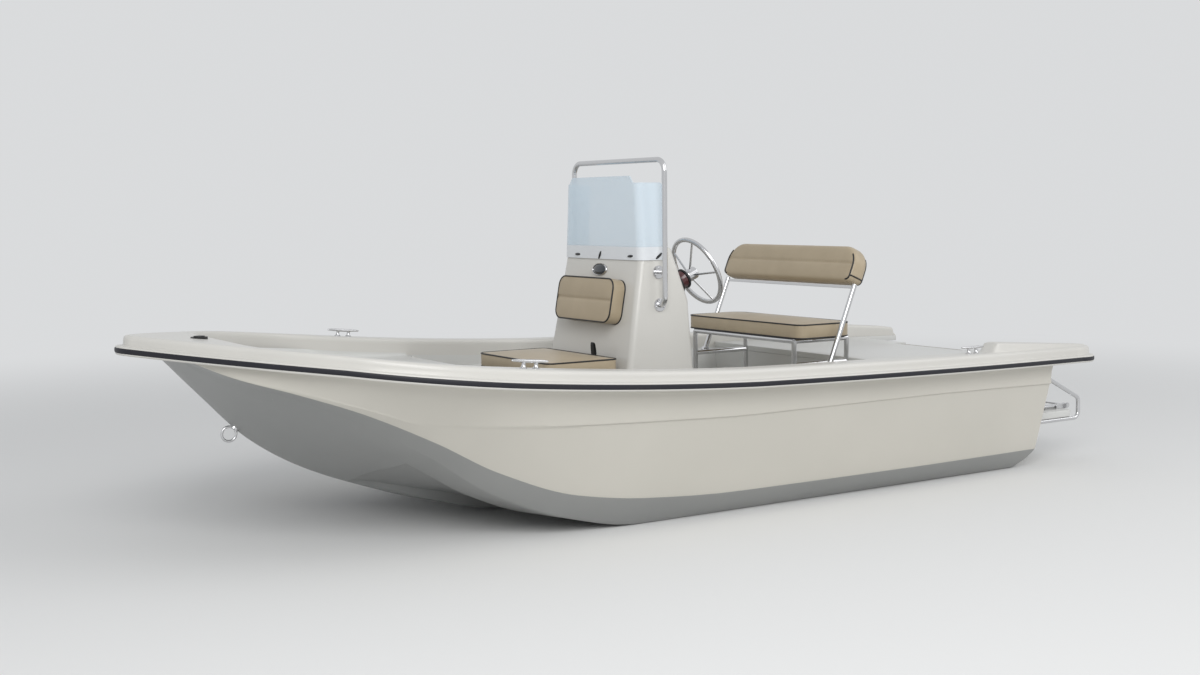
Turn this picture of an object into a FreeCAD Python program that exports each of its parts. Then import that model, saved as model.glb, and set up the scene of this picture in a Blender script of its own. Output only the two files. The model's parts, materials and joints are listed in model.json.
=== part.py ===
import FreeCAD, Part
import math
import os
from FreeCAD import Vector

# Centre-console skiff, about sixteen feet long, with a flat bottom and a foam-filled hull.
# X runs forward, Y to port and Z up. Every X is measured from the aft end of the gunwale
# and the finished pieces are moved aft by half the length, so the part is centred.

# Main sizes, in millimetres
LENGTH = 4850.0
BEAM = 2000.0
HALF_BEAM = BEAM / 2.0
TRANSOM_TOP_X = 381.0
TRANSOM_TOP_Z = 533.0
TRANSOM_RAKE = 9.0
HEEL_RADIUS = 120.0
FLOOR_Z = 220.0
KNEE_Z = 555.0
BOW_DECK_Z = 620.0
BOW_KNEE_Z = 740.0
LINER_WALL = 8.0
DECK_RISE = 12.0
GAP = 0.3
OVERRUN = 60.0
TALL = 1600.0
NEARLY_ALONG = 0.9

# Sheer line of the rubbing strake, seen from the side: share of the length, then height
SHEER_POINTS = (
    (0.0, 548.0),
    (0.499, 603.0),
    (0.7216, 673.0),
    (0.8680, 752.0),
    (1.0, 820.0),
)

# Gunwale plan, port side: share of the length, then share of the half beam
GUNWALE_PLAN = (
    (0.0, 0.740),
    (0.0124, 0.822),
    (0.0392, 0.860),
    (0.2165, 0.955),
    (0.4990, 1.000),
    (0.7216, 1.000),
    (0.8000, 0.938),
    (0.8680, 0.750),
    (0.9433, 0.413),
    (0.9942, 0.080),
)
GUNWALE_UNDER = 18.0
GUNWALE_RISE = 62.0
LIP_RISE = 18.0
LIP_STEP = 30.0
STERN_EDGE_X = 340.0
STRIP_HEIGHT = 24.0
STRIP_DEPTH = 8.0
STRIP_PROUD = 3.0

# Raised stern wings beside the motor notch
WING_INNER_Y = HALF_BEAM - 310.0
WING_MARGIN = 12.0
WING_RISE = 48.0
WING_FRONT_X = 0.1724 * LENGTH
WING_SLOPE = 40.0
WING_TAIL_X = 90.0
WING_TAIL_RISE = 8.0
WING_SINK = 4.0
NOTCH_HALF = 260.0
NOTCH_DEPTH = 70.0

# Hull offsets: share of the length, then heights in millimetres and half breadths as
# shares of the half beam
HULL_COLUMNS = ("share", "keel_z", "runner_y", "runner_z", "chine_y", "chine_z",
                "knuckle_y", "knuckle_z", "sheer_y", "sheer_z")
HULL_STATIONS = (
    (0.0619, 0.0, 0.700, 0.0, 0.772, 100.0, 0.822, 438.0, 0.831, 560.0),
    (0.2887, 0.0, 0.700, 0.0, 0.800, 102.0, 0.897, 462.0, 0.922, 590.0),
    (0.4990, 0.0, 0.700, 0.0, 0.800, 107.0, 0.910, 462.0, 0.945, 610.0),
    (0.5876, 0.0, 0.700, 0.0, 0.800, 130.0, 0.906, 474.0, 0.945, 630.0),
    (0.6639, 8.0, 0.700, 70.0, 0.777, 180.0, 0.895, 487.0, 0.945, 650.0),
    (0.7320, 78.0, 0.630, 203.0, 0.713, 300.0, 0.845, 500.0, 0.938, 685.0),
    (0.7835, 158.0, 0.600, 372.0, 0.680, 436.0, 0.735, 510.0, 0.892, 712.0),
    (0.8474, 283.0, 0.548, 540.0, 0.640, 580.0, 0.662, 602.0, 0.755, 745.0),
    (0.8928, 420.0, 0.470, 640.0, 0.550, 660.0, 0.556, 674.0, 0.570, 764.0),
    (0.9330, 614.0, 0.330, 712.0, 0.400, 724.0, 0.400, 732.0, 0.396, 782.0),
    (0.9670, 792.0, 0.120, 806.0, 0.150, 810.0, 0.150, 813.0, 0.150, 830.0),
)
AFT_STATIONS = 5
FORE_STATIONS = 20
KNUCKLE_STEP = 7.0
KNUCKLE_FADE_FROM = 0.711
KNUCKLE_FADE_TO = 0.835
TUNNEL_DEPTH = 45.0
TUNNEL_START_DEPTH = 2.0
TUNNEL_INNER_Y = 0.09 * HALF_BEAM
TUNNEL_OUTER_Y = 0.45 * HALF_BEAM
TUNNEL_FRONT_X = 0.7959 * LENGTH
TUNNEL_FULL_X = 0.6907 * LENGTH
TUNNEL_SLANT = 90.0

# Cockpit plan: ends of the well, then half breadths at its aft end, middle and front
WELL_AFT_X = 0.268 * LENGTH
WELL_FRONT_X = 0.6598 * LENGTH
WELL_FLOOR_Y = (HALF_BEAM - 260.0, HALF_BEAM - 228.0, HALF_BEAM - 272.0)
WELL_TOP_Y = (HALF_BEAM - 188.0, HALF_BEAM - 142.0, HALF_BEAM - 150.0)

# Bow well plan at its deck and at its top edge
BOW_COLUMNS = ("half", "front_x", "elbow_share", "front_half")
BOW_DECK_PLAN = (HALF_BEAM - 230.0, 0.8959 * LENGTH, 0.745, 290.0)
BOW_TOP_PLAN = (HALF_BEAM - 150.0, 0.9134 * LENGTH, 0.800, 360.0)
BOW_SHOULDER_X = 0.7423 * LENGTH
BOW_ELBOW_BACK = 250.0
BOW_SHOULDER_SHARE = 0.965
BOW_SHOULDER_BULGE = 25.0
BOW_ELBOW_BULGE_X = 35.0
BOW_ELBOW_BULGE_Y = 28.0

# Bow locker and its hatch
LOCKER_AFT_X = 0.7237 * LENGTH
LOCKER_FRONT_X = 0.8021 * LENGTH
LOCKER_HALF = 220.0
LOCKER_DEPTH = 170.0
HATCH_OVERLAP = 22.0
HATCH_THICKNESS = 12.0
HATCH_CORNER = 30.0

# Long hinges of the two lids
HINGE_RADIUS = 4.5
HINGE_PIN_RADIUS = 2.5
HINGE_CLEARANCE = 0.5
HINGE_LEAF = 2.0
HINGE_LEAF_WIDTH = 24.0
HINGE_MARGIN = 20.0
HINGE_KNUCKLES = 5
PIN_CLEARANCE = 0.05

# Console, side view corners and half widths
CONSOLE_X = 0.4711 * LENGTH
CONSOLE_FRONT_FOOT_X = CONSOLE_X + 457.0
CONSOLE_FRONT_TOP_X = CONSOLE_X + 288.0
CONSOLE_TOP_AFT_X = CONSOLE_X + 117.0
CONSOLE_HELM_FOOT_X = CONSOLE_X + 31.0
CONSOLE_HELM_FOOT_Z = 924.0
CONSOLE_TOP_Z = 1170.0
CONSOLE_TOP_HALF = 324.0
CONSOLE_FOOT_HALF = 382.0
CONSOLE_EDGE_RADIUS = 30.0

# Windshield
SHIELD_FOOT_Z = 1115.0
SHIELD_TOP_Z = 1500.0
SHIELD_WING_Z = 1468.0
SHIELD_THICKNESS = 5.0
SHIELD_SIDE = 140.0
SHIELD_TOP_HALF = 306.0
SHIELD_GAP = 0.8
SHIELD_CORNER = CONSOLE_EDGE_RADIUS + SHIELD_GAP + SHIELD_THICKNESS
SHIELD_RAISED_HALF = 195.0
SHIELD_SHOULDER = 28.0
SHIELD_OVERCUT = 1.0

# Grab rail
RAIL_RADIUS = 12.5
RAIL_STAY_RADIUS = 9.0
RAIL_TOP_Z = 1584.0
RAIL_HALF = 385.0
RAIL_X = CONSOLE_X + 205.0
RAIL_FOOT_Z = 910.0
RAIL_STAY_Z = 1060.0
RAIL_TOP_BEND = 55.0
RAIL_FOOT_BEND = 38.0
FLANGE_RADIUS = 30.0
FLANGE_THICKNESS = 7.0
SINK = 4.0

# Console front
VENT_Z = 1065.0
VENT_WIDTH = 112.0
VENT_HEIGHT = 80.0
VENT_DEPTH = 26.0
PAD_Z = 919.0
PAD_WIDTH = 480.0
PAD_HEIGHT = 210.0
PAD_DEPTH = 78.0
PAD_CORNER = 38.0
PAD_EDGE = 16.0

# Front seat
SEAT_BOX_FRONT_X = 0.634 * LENGTH
SEAT_BOX_HALF = 318.0
SEAT_BOX_TOP_Z = 596.0
SEAT_BOX_WALL = 14.0
SEAT_BOX_CORNER = 30.0
SEAT_LID_THICKNESS = 14.0
SEAT_LID_CORNER = 20.0
SEAT_LID_AFT_X = CONSOLE_FRONT_FOOT_X - 37.0
SEAT_CUSHION_THICKNESS = 70.0
SEAT_CUSHION_OVERHANG = 6.0
SEAT_CUSHION_HALF = SEAT_BOX_HALF + 9.0
SEAT_CUSHION_CORNER = 40.0
SEAT_CUSHION_EDGE = 18.0

# Helm seat
BENCH_AFT_X = 0.2835 * LENGTH
BENCH_DEPTH = 375.0
BENCH_HALF = 460.0
BENCH_TOP_Z = 790.0
BENCH_CUSHION = 75.0
BENCH_CORNER = 45.0
BENCH_EDGE = 20.0
BENCH_FRAME_HALF = 400.0
BENCH_FRAME_AFT_INSET = 25.0
BENCH_FRAME_FRONT_INSET = 12.0
BENCH_TUBE_RADIUS = 12.5
BENCH_FOOT_RADIUS = 30.0
BENCH_FOOT_THICKNESS = 6.0
PIVOT_X = BENCH_AFT_X + 225.0
PIVOT_Z = 585.0
PIVOT_PIN_RADIUS = 7.0
PIVOT_EYE_RADIUS = 18.0
PIVOT_PIN_PROUD = 6.0
POST_Y = 500.0
POST_LEAN = 22.7
POST_RADIUS = 12.5
POST_SINK = 2.0
BAR_HALF_WIDTH = 4.0
BAR_HALF_HEIGHT = 6.0
BACK_BOTTOM = 415.0
BACK_HEIGHT = 190.0
BACK_HALF = 505.0
BACK_THICKNESS = 100.0
BACK_CORNER = 70.0
BACK_EDGE = 22.0

# Steering wheel
WHEEL_X = CONSOLE_X - 112.0
WHEEL_Y = 200.0
WHEEL_Z = 1051.0
WHEEL_TILT = 24.3
WHEEL_RADIUS = 175.0
WHEEL_RIM_RADIUS = 11.5
WHEEL_SPOKES = 5
FIRST_SPOKE = 90.0
SPOKE_RADIUS = 5.0
HUB_RADIUS = 30.0
HUB_LENGTH = 58.0
HUB_EDGE = 6.0
HUB_DISH = 40.0
BEZEL_RADIUS = 58.0
BEZEL_LENGTH = 60.0
BEZEL_BACK = 190.0
SHAFT_RADIUS = 14.0
SHAFT_BACK = 259.0

# Deck fittings
CLEAT_LENGTH = 165.0
CLEAT_HEIGHT = 38.0
CLEAT_HORN_RADIUS = 8.0
CLEAT_TIP_RADIUS = 5.0
CLEAT_LEG_RADIUS = 13.0
CLEAT_LEG_TOP_RADIUS = 7.0
CLEAT_LEG_X = 28.0
CLEAT_COLUMNS = ("name", "x", "inset")
CLEAT_PLACES = (
    ("fore", 0.7247 * LENGTH, 82.0),
    ("aft", 0.2050 * LENGTH, 100.0),
)
LIGHT_BACK = 330.0
LIGHT_BASE_RADIUS = 34.0
LIGHT_BASE_HEIGHT = 7.0
LIGHT_LENS_RADIUS = 22.0
LIGHT_LENS_HEIGHT = 11.0
EYE_Z = 471.0
EYE_RADIUS = 30.0
EYE_WIRE = 5.5
EYE_FOOT_RADIUS = 21.0
EYE_FOOT_THICKNESS = 5.0

# Motor board on the transom
BOARD_HALF = 210.0
BOARD_LOW_Z = 190.0
BOARD_HIGH_Z = 528.0
BOARD_THICKNESS = 8.0
BOARD_CORNER = 24.0

# Stern platform and ladder
PAD_AFT_X = 70.0
PAD_INNER_Y = 0.32 * HALF_BEAM
PAD_OUTER_Y = 0.70 * HALF_BEAM
PAD_TOP_Z = 265.0
PAD_THICKNESS = 38.0
PLATFORM_CORNER = 30.0
LOOP_RADIUS = 11.0
LOOP_TOP_Z = 515.0
LOOP_AFT_X = 14.0
LOOP_ELBOW_Z = 322.0
LOOP_BEND = 34.0
LOOP_OVERLAP = 20.0
LADDER_HINGE_X = 42.0
LADDER_RADIUS = 11.0
LADDER_LENGTH = 290.0
LADDER_INNER_Y = PAD_INNER_Y + 75.0
LADDER_OUTER_Y = PAD_OUTER_Y - 75.0
LADDER_LIFT = 3.0
LADDER_END_STEP = 20.0
LADDER_PIN_RADIUS = 5.0
CHEEK = 5.0
CHEEK_GAP = 3.0
CHEEK_RISE = 10.0
CHEEK_LENGTH = 60.0

NODES = {}


def keep(name, shape):
    """Keep one finished piece under its node name."""
    NODES[name] = shape
    return shape


def plane_face(points):
    """Face inside a closed polygon."""
    return Part.Face(Part.makePolygon(list(points) + [points[0]]))


def box(low, high):
    """Box between two opposite corners given as tuples."""
    size = [b - a for a, b in zip(low, high)]
    return Part.makeBox(size[0], size[1], size[2], Vector(*low))


def side_prism(points, half_width):
    """Closed outline in the XZ plane carried across the boat by the half width."""
    face = plane_face([Vector(x, -half_width, z) for x, z in points])
    return face.extrude(Vector(0, 2.0 * half_width, 0))


def mirrored(shape):
    """The same piece on the other side of the centreline."""
    return shape.mirror(Vector(0, 0, 0), Vector(0, 1, 0))


def rounded_path(points, bend):
    """Straight runs through the points, joined by arcs of the bend radius."""
    edges = []
    start = points[0]
    for before, corner, after in zip(points, points[1:], points[2:]):
        back = (before - corner).normalize()
        onward = (after - corner).normalize()
        half_turn = back.getAngle(onward) / 2.0
        reach = bend / math.tan(half_turn)
        first = corner + back * reach
        last = corner + onward * reach
        inward = (back + onward).normalize()
        middle = corner + inward * (bend / math.sin(half_turn) - bend)
        edges.append(Part.LineSegment(start, first).toShape())
        edges.append(Part.Arc(first, middle, last).toShape())
        start = last
    edges.append(Part.LineSegment(start, points[-1]).toShape())
    return Part.Wire(edges)


def tube(points, radius, bend=0.0):
    """Round bar along the points, with bends where there are more than two."""
    if len(points) == 2:
        run = points[1] - points[0]
        return Part.makeCylinder(radius, run.Length, points[0], run)
    ring = Part.Wire(Part.makeCircle(radius, points[0], points[1] - points[0]))
    return rounded_path(points, bend).makePipeShell([ring], True, False)


def edges_along(shape, way):
    """Edges of a shape that run nearly along one direction."""
    return [e for e in shape.Edges if abs(e.tangentAt(e.FirstParameter).dot(way)) > NEARLY_ALONG]


def soft_block(size, corner, edge):
    """Cushion block standing on its base centre, with round corners and soft edges."""
    block = box((-size[0] / 2.0, -size[1] / 2.0, 0.0), (size[0] / 2.0, size[1] / 2.0, size[2]))
    block = block.makeFillet(corner, edges_along(block, Vector(0, 0, 1)))
    rims = [e for e in block.Edges if e.BoundBox.ZLength < GAP]
    return block.makeFillet(edge, rims)


# Sheer line and gunwale plan
def sheer_edges(rise):
    """Side view of the sheer line, raised by a height: line, arc and line."""
    points = [Vector(share * LENGTH, 0, z + rise) for share, z in SHEER_POINTS]
    aft, mid, bend, fore, bow = points
    aft = aft + (aft - mid).normalize() * OVERRUN
    bow = bow + (bow - fore).normalize() * OVERRUN
    return [Part.LineSegment(aft, mid).toShape(),
            Part.Arc(mid, bend, fore).toShape(),
            Part.LineSegment(fore, bow).toShape()]


SHEER_WIRE = Part.Wire(sheer_edges(0.0))


def crossing(wire, x, across):
    """Point where a wire crosses the place x, searched along one direction."""
    line = Part.makeLine(Vector(x, 0, 0), Vector(x, 0, 0) + across * TALL)
    return wire.distToShape(line)[1][0][0]


def sheer_z(x):
    """Height of the strake at a place along the boat."""
    return crossing(SHEER_WIRE, x, Vector(0, 0, 1)).z


def sheer_band(low, high):
    """Everything between two heights measured from the sheer line."""
    bottom = sheer_edges(low)
    top = sheer_edges(high)
    ends = [Part.makeLine(bottom[0].firstVertex().Point, top[0].firstVertex().Point),
            Part.makeLine(bottom[-1].lastVertex().Point, top[-1].lastVertex().Point)]
    outline = Part.Wire(Part.__sortEdges__(bottom + top + ends))
    face = Part.Face(outline)
    face.translate(Vector(0, -BEAM, 0))
    return face.extrude(Vector(0, 2.0 * BEAM, 0))


def gunwale_side(side):
    """Outer edge of the gunwale in plan, from the stern to the nose, on one side."""
    p = [Vector(share * LENGTH, side * breadth * HALF_BEAM, 0) for share, breadth in GUNWALE_PLAN]
    return [Part.Arc(p[0], p[1], p[2]).toShape(), Part.Arc(p[2], p[3], p[4]).toShape(),
            Part.LineSegment(p[4], p[5]).toShape(),
            Part.Arc(p[5], p[6], p[7]).toShape(), Part.Arc(p[7], p[8], p[9]).toShape()]


PORT_EDGES = gunwale_side(1.0)
STARBOARD_EDGES = gunwale_side(-1.0)
PORT_WIRE = Part.Wire(PORT_EDGES)


def gunwale_y(x):
    """Half breadth of the gunwale's outer edge at a place along the boat."""
    return crossing(PORT_WIRE, x, Vector(0, 1, 0)).y


def gunwale_outline():
    """Closed plan of the gunwale, with the open notch between the stern wings."""
    nose = Part.Arc(PORT_EDGES[-1].lastVertex().Point, Vector(LENGTH, 0, 0),
                    STARBOARD_EDGES[-1].lastVertex().Point).toShape()
    corner_y = PORT_EDGES[0].firstVertex().Point.y
    stern = [Vector(0, corner_y, 0), Vector(0, WING_INNER_Y, 0),
             Vector(STERN_EDGE_X, WING_INNER_Y, 0), Vector(STERN_EDGE_X, -WING_INNER_Y, 0),
             Vector(0, -WING_INNER_Y, 0), Vector(0, -corner_y, 0)]
    lines = [Part.makeLine(a, b) for a, b in zip(stern, stern[1:])]
    return Part.Wire(Part.__sortEdges__(PORT_EDGES + STARBOARD_EDGES + [nose] + lines))


def upright_prism(wire, low, high):
    """Plan outline carried from one height to another."""
    face = Part.Face(wire)
    face.translate(Vector(0, 0, low))
    return face.extrude(Vector(0, 0, high - low))


OUTLINE = gunwale_outline()


def gunwale_layer(inset, low, high):
    """Part of the gunwale inside an inset outline and between two sheer heights."""
    wire = OUTLINE if inset == 0.0 else OUTLINE.makeOffset2D(-inset)
    return upright_prism(wire, 0.0, TALL).common(sheer_band(low, high))


# Cockpit
def well_outline(z, aft_x, front_x, halves):
    """Plan of the cockpit at one height: bowed sides between straight ends."""
    middle_x = (aft_x + front_x) / 2.0
    aft_y, middle_y, front_y = halves
    corners = [Vector(aft_x, aft_y, z), Vector(front_x, front_y, z),
               Vector(front_x, -front_y, z), Vector(aft_x, -aft_y, z)]
    edges = [Part.Arc(corners[0], Vector(middle_x, middle_y, z), corners[1]).toShape(),
             Part.makeLine(corners[1], corners[2]),
             Part.Arc(corners[2], Vector(middle_x, -middle_y, z), corners[3]).toShape(),
             Part.makeLine(corners[3], corners[0])]
    return Part.Wire(edges)


def bow_outline(z, plan, grow):
    """Plan of the bow well at one height: sides, shoulders and a blunt front."""
    p = dict(zip(BOW_COLUMNS, plan))
    aft_x = WELL_FRONT_X - LINER_WALL
    half = p["half"] + grow
    front_x = p["front_x"] + grow
    front_half = p["front_half"] + grow
    edges = []
    for side in (1.0, -1.0):
        aft = Vector(aft_x, side * half, z)
        start = Vector(BOW_SHOULDER_X, side * half, z)
        elbow = Vector(front_x - BOW_ELBOW_BACK, side * half * p["elbow_share"], z)
        end = Vector(front_x, side * front_half, z)
        middle_x = (start.x + elbow.x) / 2.0 + BOW_SHOULDER_BULGE
        middle = Vector(middle_x, side * half * BOW_SHOULDER_SHARE, z)
        bulge = Vector(BOW_ELBOW_BULGE_X, side * BOW_ELBOW_BULGE_Y, 0)
        edges.append(Part.makeLine(aft, start))
        edges.append(Part.Arc(start, middle, elbow).toShape())
        edges.append(Part.Arc(elbow, (elbow + end) * 0.5 + bulge, end).toShape())
    edges.append(Part.makeLine(Vector(front_x, front_half, z), Vector(front_x, -front_half, z)))
    edges.append(Part.makeLine(Vector(aft_x, half, z), Vector(aft_x, -half, z)))
    return Part.Wire(Part.__sortEdges__(edges))


def cockpit(grow):
    """Open space of the cockpit, grown by a wall thickness on its sides and floor."""
    aft_x = WELL_AFT_X - grow
    front_x = WELL_FRONT_X + grow
    floor_half = [y + grow for y in WELL_FLOOR_Y]
    top_half = [y + grow for y in WELL_TOP_Y]
    low = well_outline(FLOOR_Z - grow, aft_x, front_x, floor_half)
    high = well_outline(KNEE_Z, aft_x, front_x, top_half)
    upper = upright_prism(well_outline(0.0, aft_x, front_x, top_half), KNEE_Z, TALL)
    return Part.makeLoft([low, high], True, True).fuse(upper)


def bow_well(grow):
    """Open space over the bow deck and in its locker, grown by a wall thickness."""
    low = bow_outline(BOW_DECK_Z - grow, BOW_DECK_PLAN, grow)
    high = bow_outline(BOW_KNEE_Z, BOW_TOP_PLAN, grow)
    upper = Part.Face(high).extrude(Vector(0, 0, TALL - BOW_KNEE_Z))
    locker = box((LOCKER_AFT_X - grow, -LOCKER_HALF - grow, BOW_DECK_Z - LOCKER_DEPTH - grow),
                 (LOCKER_FRONT_X + grow, LOCKER_HALF + grow, BOW_DECK_Z + OVERRUN))
    return Part.makeLoft([low, high], True, True).fuse([upper, locker])


# Hull
def fair_slopes(places, values):
    """Slope at each station: a weighted mean of its neighbours, or level at a turn."""
    steps = [b - a for a, b in zip(places, places[1:])]
    rises = [(b - a) / step for a, b, step in zip(values, values[1:], steps)]
    inner = []
    for step, onward, rise, next_rise in zip(steps, steps[1:], rises, rises[1:]):
        if rise * next_rise <= 0.0:
            inner.append(0.0)
        else:
            near = 2.0 * onward + step
            far = onward + 2.0 * step
            inner.append((near + far) / (near / rise + far / next_rise))
    return [rises[0]] + inner + [rises[-1]]


STATION_PLACES = [row[0] * LENGTH for row in HULL_STATIONS]
STATION_VALUES = dict(zip(HULL_COLUMNS, zip(*HULL_STATIONS)))
STATION_SLOPES = {key: fair_slopes(STATION_PLACES, STATION_VALUES[key]) for key in HULL_COLUMNS}


def hull_value(key, x):
    """One column of the station table, faired smoothly between the stations."""
    x = min(max(x, STATION_PLACES[0]), STATION_PLACES[-1])
    row = max(i for i, place in enumerate(STATION_PLACES[:-1]) if place <= x)
    step = STATION_PLACES[row + 1] - STATION_PLACES[row]
    t = (x - STATION_PLACES[row]) / step
    low, high = STATION_VALUES[key][row:row + 2]
    low_slope, high_slope = STATION_SLOPES[key][row:row + 2]
    return ((2 * t ** 3 - 3 * t ** 2 + 1) * low + (3 * t ** 2 - 2 * t ** 3) * high
            + step * ((t ** 3 - 2 * t ** 2 + t) * low_slope + (t ** 3 - t ** 2) * high_slope))


def hull_section(x):
    """Closed cross section of the hull at one place."""
    fade = (KNUCKLE_FADE_TO - x / LENGTH) / (KNUCKLE_FADE_TO - KNUCKLE_FADE_FROM)
    step = KNUCKLE_STEP * min(1.0, max(0.0, fade))
    half = [(hull_value(name + "_y", x) * HALF_BEAM, hull_value(name + "_z", x))
            for name in ("runner", "chine", "knuckle", "sheer")]
    knuckle_y, knuckle_z = half[2]
    half.insert(2, (knuckle_y - step, knuckle_z - GAP - step / 2.0))
    port = [Vector(x, y, z) for y, z in half]
    starboard = [Vector(x, -y, z) for y, z in reversed(half)]
    points = [Vector(x, 0, hull_value("keel_z", x))] + port + starboard
    return Part.makePolygon(points + [points[0]])


def section_places():
    """Places of the hull's cross sections, close together in the curved bow."""
    aft_x, front_x = STATION_PLACES[0], STATION_PLACES[-1]
    middle_x = STATION_PLACES[2]
    aft = [aft_x + (middle_x - aft_x) * i / AFT_STATIONS for i in range(AFT_STATIONS)]
    fore = [middle_x + (front_x - middle_x) * i / FORE_STATIONS for i in range(FORE_STATIONS + 1)]
    return aft + fore


def bottom_z(x, y):
    """Height of the bottom panel at a place."""
    share = min(1.0, abs(y) / (hull_value("runner_y", x) * HALF_BEAM))
    keel_z = hull_value("keel_z", x)
    return keel_z + share * (hull_value("runner_z", x) - keel_z)


def tunnel():
    """Recess in the bottom between the centre pad and one runner."""
    places = ((TUNNEL_FRONT_X + TUNNEL_SLANT, TUNNEL_FRONT_X, TUNNEL_START_DEPTH),
              (TUNNEL_FULL_X, TUNNEL_FULL_X, TUNNEL_DEPTH),
              (0.0, 0.0, TUNNEL_DEPTH))
    sections = []
    for inner_x, outer_x, depth in places:
        inner_z = bottom_z(inner_x, TUNNEL_INNER_Y) + depth
        outer_z = bottom_z(outer_x, TUNNEL_OUTER_Y) + depth
        corners = [Vector(inner_x, TUNNEL_INNER_Y, inner_z - FLOOR_Z),
                   Vector(inner_x, TUNNEL_INNER_Y, inner_z),
                   Vector(outer_x, TUNNEL_OUTER_Y, outer_z),
                   Vector(outer_x, TUNNEL_OUTER_Y, outer_z - FLOOR_Z)]
        sections.append(Part.makePolygon(corners + [corners[0]]))
    return Part.makeLoft(sections, True, True)


def stern_profile():
    """Side view of the hull's aft end: raked transom with a round heel."""
    slope = math.tan(math.radians(TRANSOM_RAKE))
    top = Vector(TRANSOM_TOP_X - slope * (TALL - TRANSOM_TOP_Z), 0, TALL)
    heel = Vector(TRANSOM_TOP_X + slope * TRANSOM_TOP_Z, 0, 0)
    up = (top - heel).normalize()
    forward = Vector(1, 0, 0)
    half_turn = up.getAngle(forward) / 2.0
    reach = HEEL_RADIUS / math.tan(half_turn)
    first = heel + up * reach
    last = heel + forward * reach
    inward = (up + forward).normalize()
    middle = heel + inward * (HEEL_RADIUS / math.sin(half_turn) - HEEL_RADIUS)
    bow_low = Vector(LENGTH + OVERRUN, 0, 0)
    bow_high = Vector(LENGTH + OVERRUN, 0, TALL)
    edges = [Part.makeLine(top, first), Part.Arc(first, middle, last).toShape(),
             Part.makeLine(last, bow_low), Part.makeLine(bow_low, bow_high),
             Part.makeLine(bow_high, top)]
    face = Part.Face(Part.Wire(edges))
    face.translate(Vector(0, -BEAM, 0))
    return face.extrude(Vector(0, 2.0 * BEAM, 0))


def make_hull(well):
    """Outer hull with its raked transom, tunnels and the hollow that holds the liner."""
    blank = Part.makeLoft([hull_section(x) for x in section_places()], True, True)
    blank = blank.common(stern_profile())
    blank = blank.cut(sheer_band(-GUNWALE_UNDER, TALL))
    recess = tunnel()
    return blank.cut([recess, mirrored(recess), well])


# Gunwale, decks and liner
def stern_notch():
    """Space between the stern wings, where the lip carries no strip."""
    half = WING_INNER_Y + STRIP_HEIGHT
    return box((-OVERRUN, -half, 0.0), (STERN_EDGE_X + OVERRUN, half, TALL))


def make_strip():
    """Dark rubbing strip let into the lip, from wing tip to wing tip round the bow."""
    outer = gunwale_layer(-STRIP_PROUD, -STRIP_HEIGHT / 2.0, STRIP_HEIGHT / 2.0)
    inner = upright_prism(OUTLINE.makeOffset2D(STRIP_PROUD - STRIP_DEPTH), 0.0, TALL)
    return outer.cut([inner, stern_notch()])


def make_lip():
    """Lip of the gunwale with the groove that holds the strip."""
    half = STRIP_HEIGHT / 2.0
    groove = gunwale_layer(0.0, -half, half).common(stern_notch())
    core = gunwale_layer(STRIP_DEPTH - STRIP_PROUD, -half, half)
    under = gunwale_layer(0.0, -GUNWALE_UNDER, -half)
    over = gunwale_layer(0.0, half, LIP_RISE)
    return under.fuse([core, groove, over])


def stern_wing():
    """Raised ends of the gunwale beside the transom, both sides."""
    top = GUNWALE_RISE + WING_RISE
    tail_end = WING_TAIL_X - OVERRUN
    profile = [(WING_FRONT_X + WING_SLOPE, sheer_z(WING_FRONT_X) + GUNWALE_RISE - WING_SINK),
               (WING_FRONT_X, sheer_z(WING_FRONT_X) + top),
               (WING_TAIL_X, sheer_z(WING_TAIL_X) + GUNWALE_RISE + WING_TAIL_RISE),
               (tail_end, sheer_z(tail_end) + GUNWALE_RISE - WING_SINK)]
    plan = upright_prism(OUTLINE.makeOffset2D(-LIP_STEP - WING_MARGIN), 0.0, TALL)
    raised = side_prism(profile, HALF_BEAM).common(plan)
    half = WING_INNER_Y + WING_MARGIN
    inner = box((0.0, -half, 0.0), (WING_FRONT_X + 2.0 * WING_SLOPE, half, TALL))
    return raised.cut(inner)


def deck_space():
    """Space of the aft deck between the gunwales, open upwards."""
    aft_y, front_y = WING_INNER_Y, WELL_TOP_Y[0]
    middle_y = (aft_y + front_y) / 2.0 + WING_MARGIN
    outline = well_outline(0.0, -OVERRUN, WELL_AFT_X, (aft_y, middle_y, front_y))
    return upright_prism(outline, 0.0, TALL)


def make_gunwale(well):
    """Gunwale moulding: lip, stepped shoulder, foredeck and stern wings."""
    shoulder = gunwale_layer(LIP_STEP, -GUNWALE_UNDER, GUNWALE_RISE)
    return make_lip().fuse([shoulder, stern_wing()]).cut([well, deck_space()])


def make_aft_deck(well):
    """Aft deck between the gunwales, on top of the hull and down to the motor notch."""
    slab = deck_space().common(sheer_band(-GUNWALE_UNDER, DECK_RISE))
    slab = slab.common(upright_prism(OUTLINE, 0.0, TALL))
    notch = box((0.0, -NOTCH_HALF, 0.0), (TRANSOM_TOP_X + NOTCH_DEPTH, NOTCH_HALF, TALL))
    return slab.cut([well, notch])


def make_liners(well, cockpit_outer, bow_outer):
    """Cockpit liner with its floor and sides, and the bow deck with its locker."""
    above = sheer_band(-GUNWALE_UNDER, TALL)
    keep("cockpit_liner", cockpit_outer.cut([well, above]))
    keep("bow_deck", bow_outer.cut([well, cockpit_outer, above]))


# Lid hinges
def knuckles(x, z, half, moving):
    """Every second knuckle of a long hinge across the boat, round the axis at x and z."""
    width = 2.0 * half / HINGE_KNUCKLES
    rings = []
    for number in range(HINGE_KNUCKLES):
        if (number % 2 == 1) == moving:
            start = Vector(x, -half + number * width + HINGE_CLEARANCE, z)
            length = width - 2.0 * HINGE_CLEARANCE
            rings.append(Part.makeCylinder(HINGE_RADIUS, length, start, Vector(0, 1, 0)))
    return rings


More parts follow.
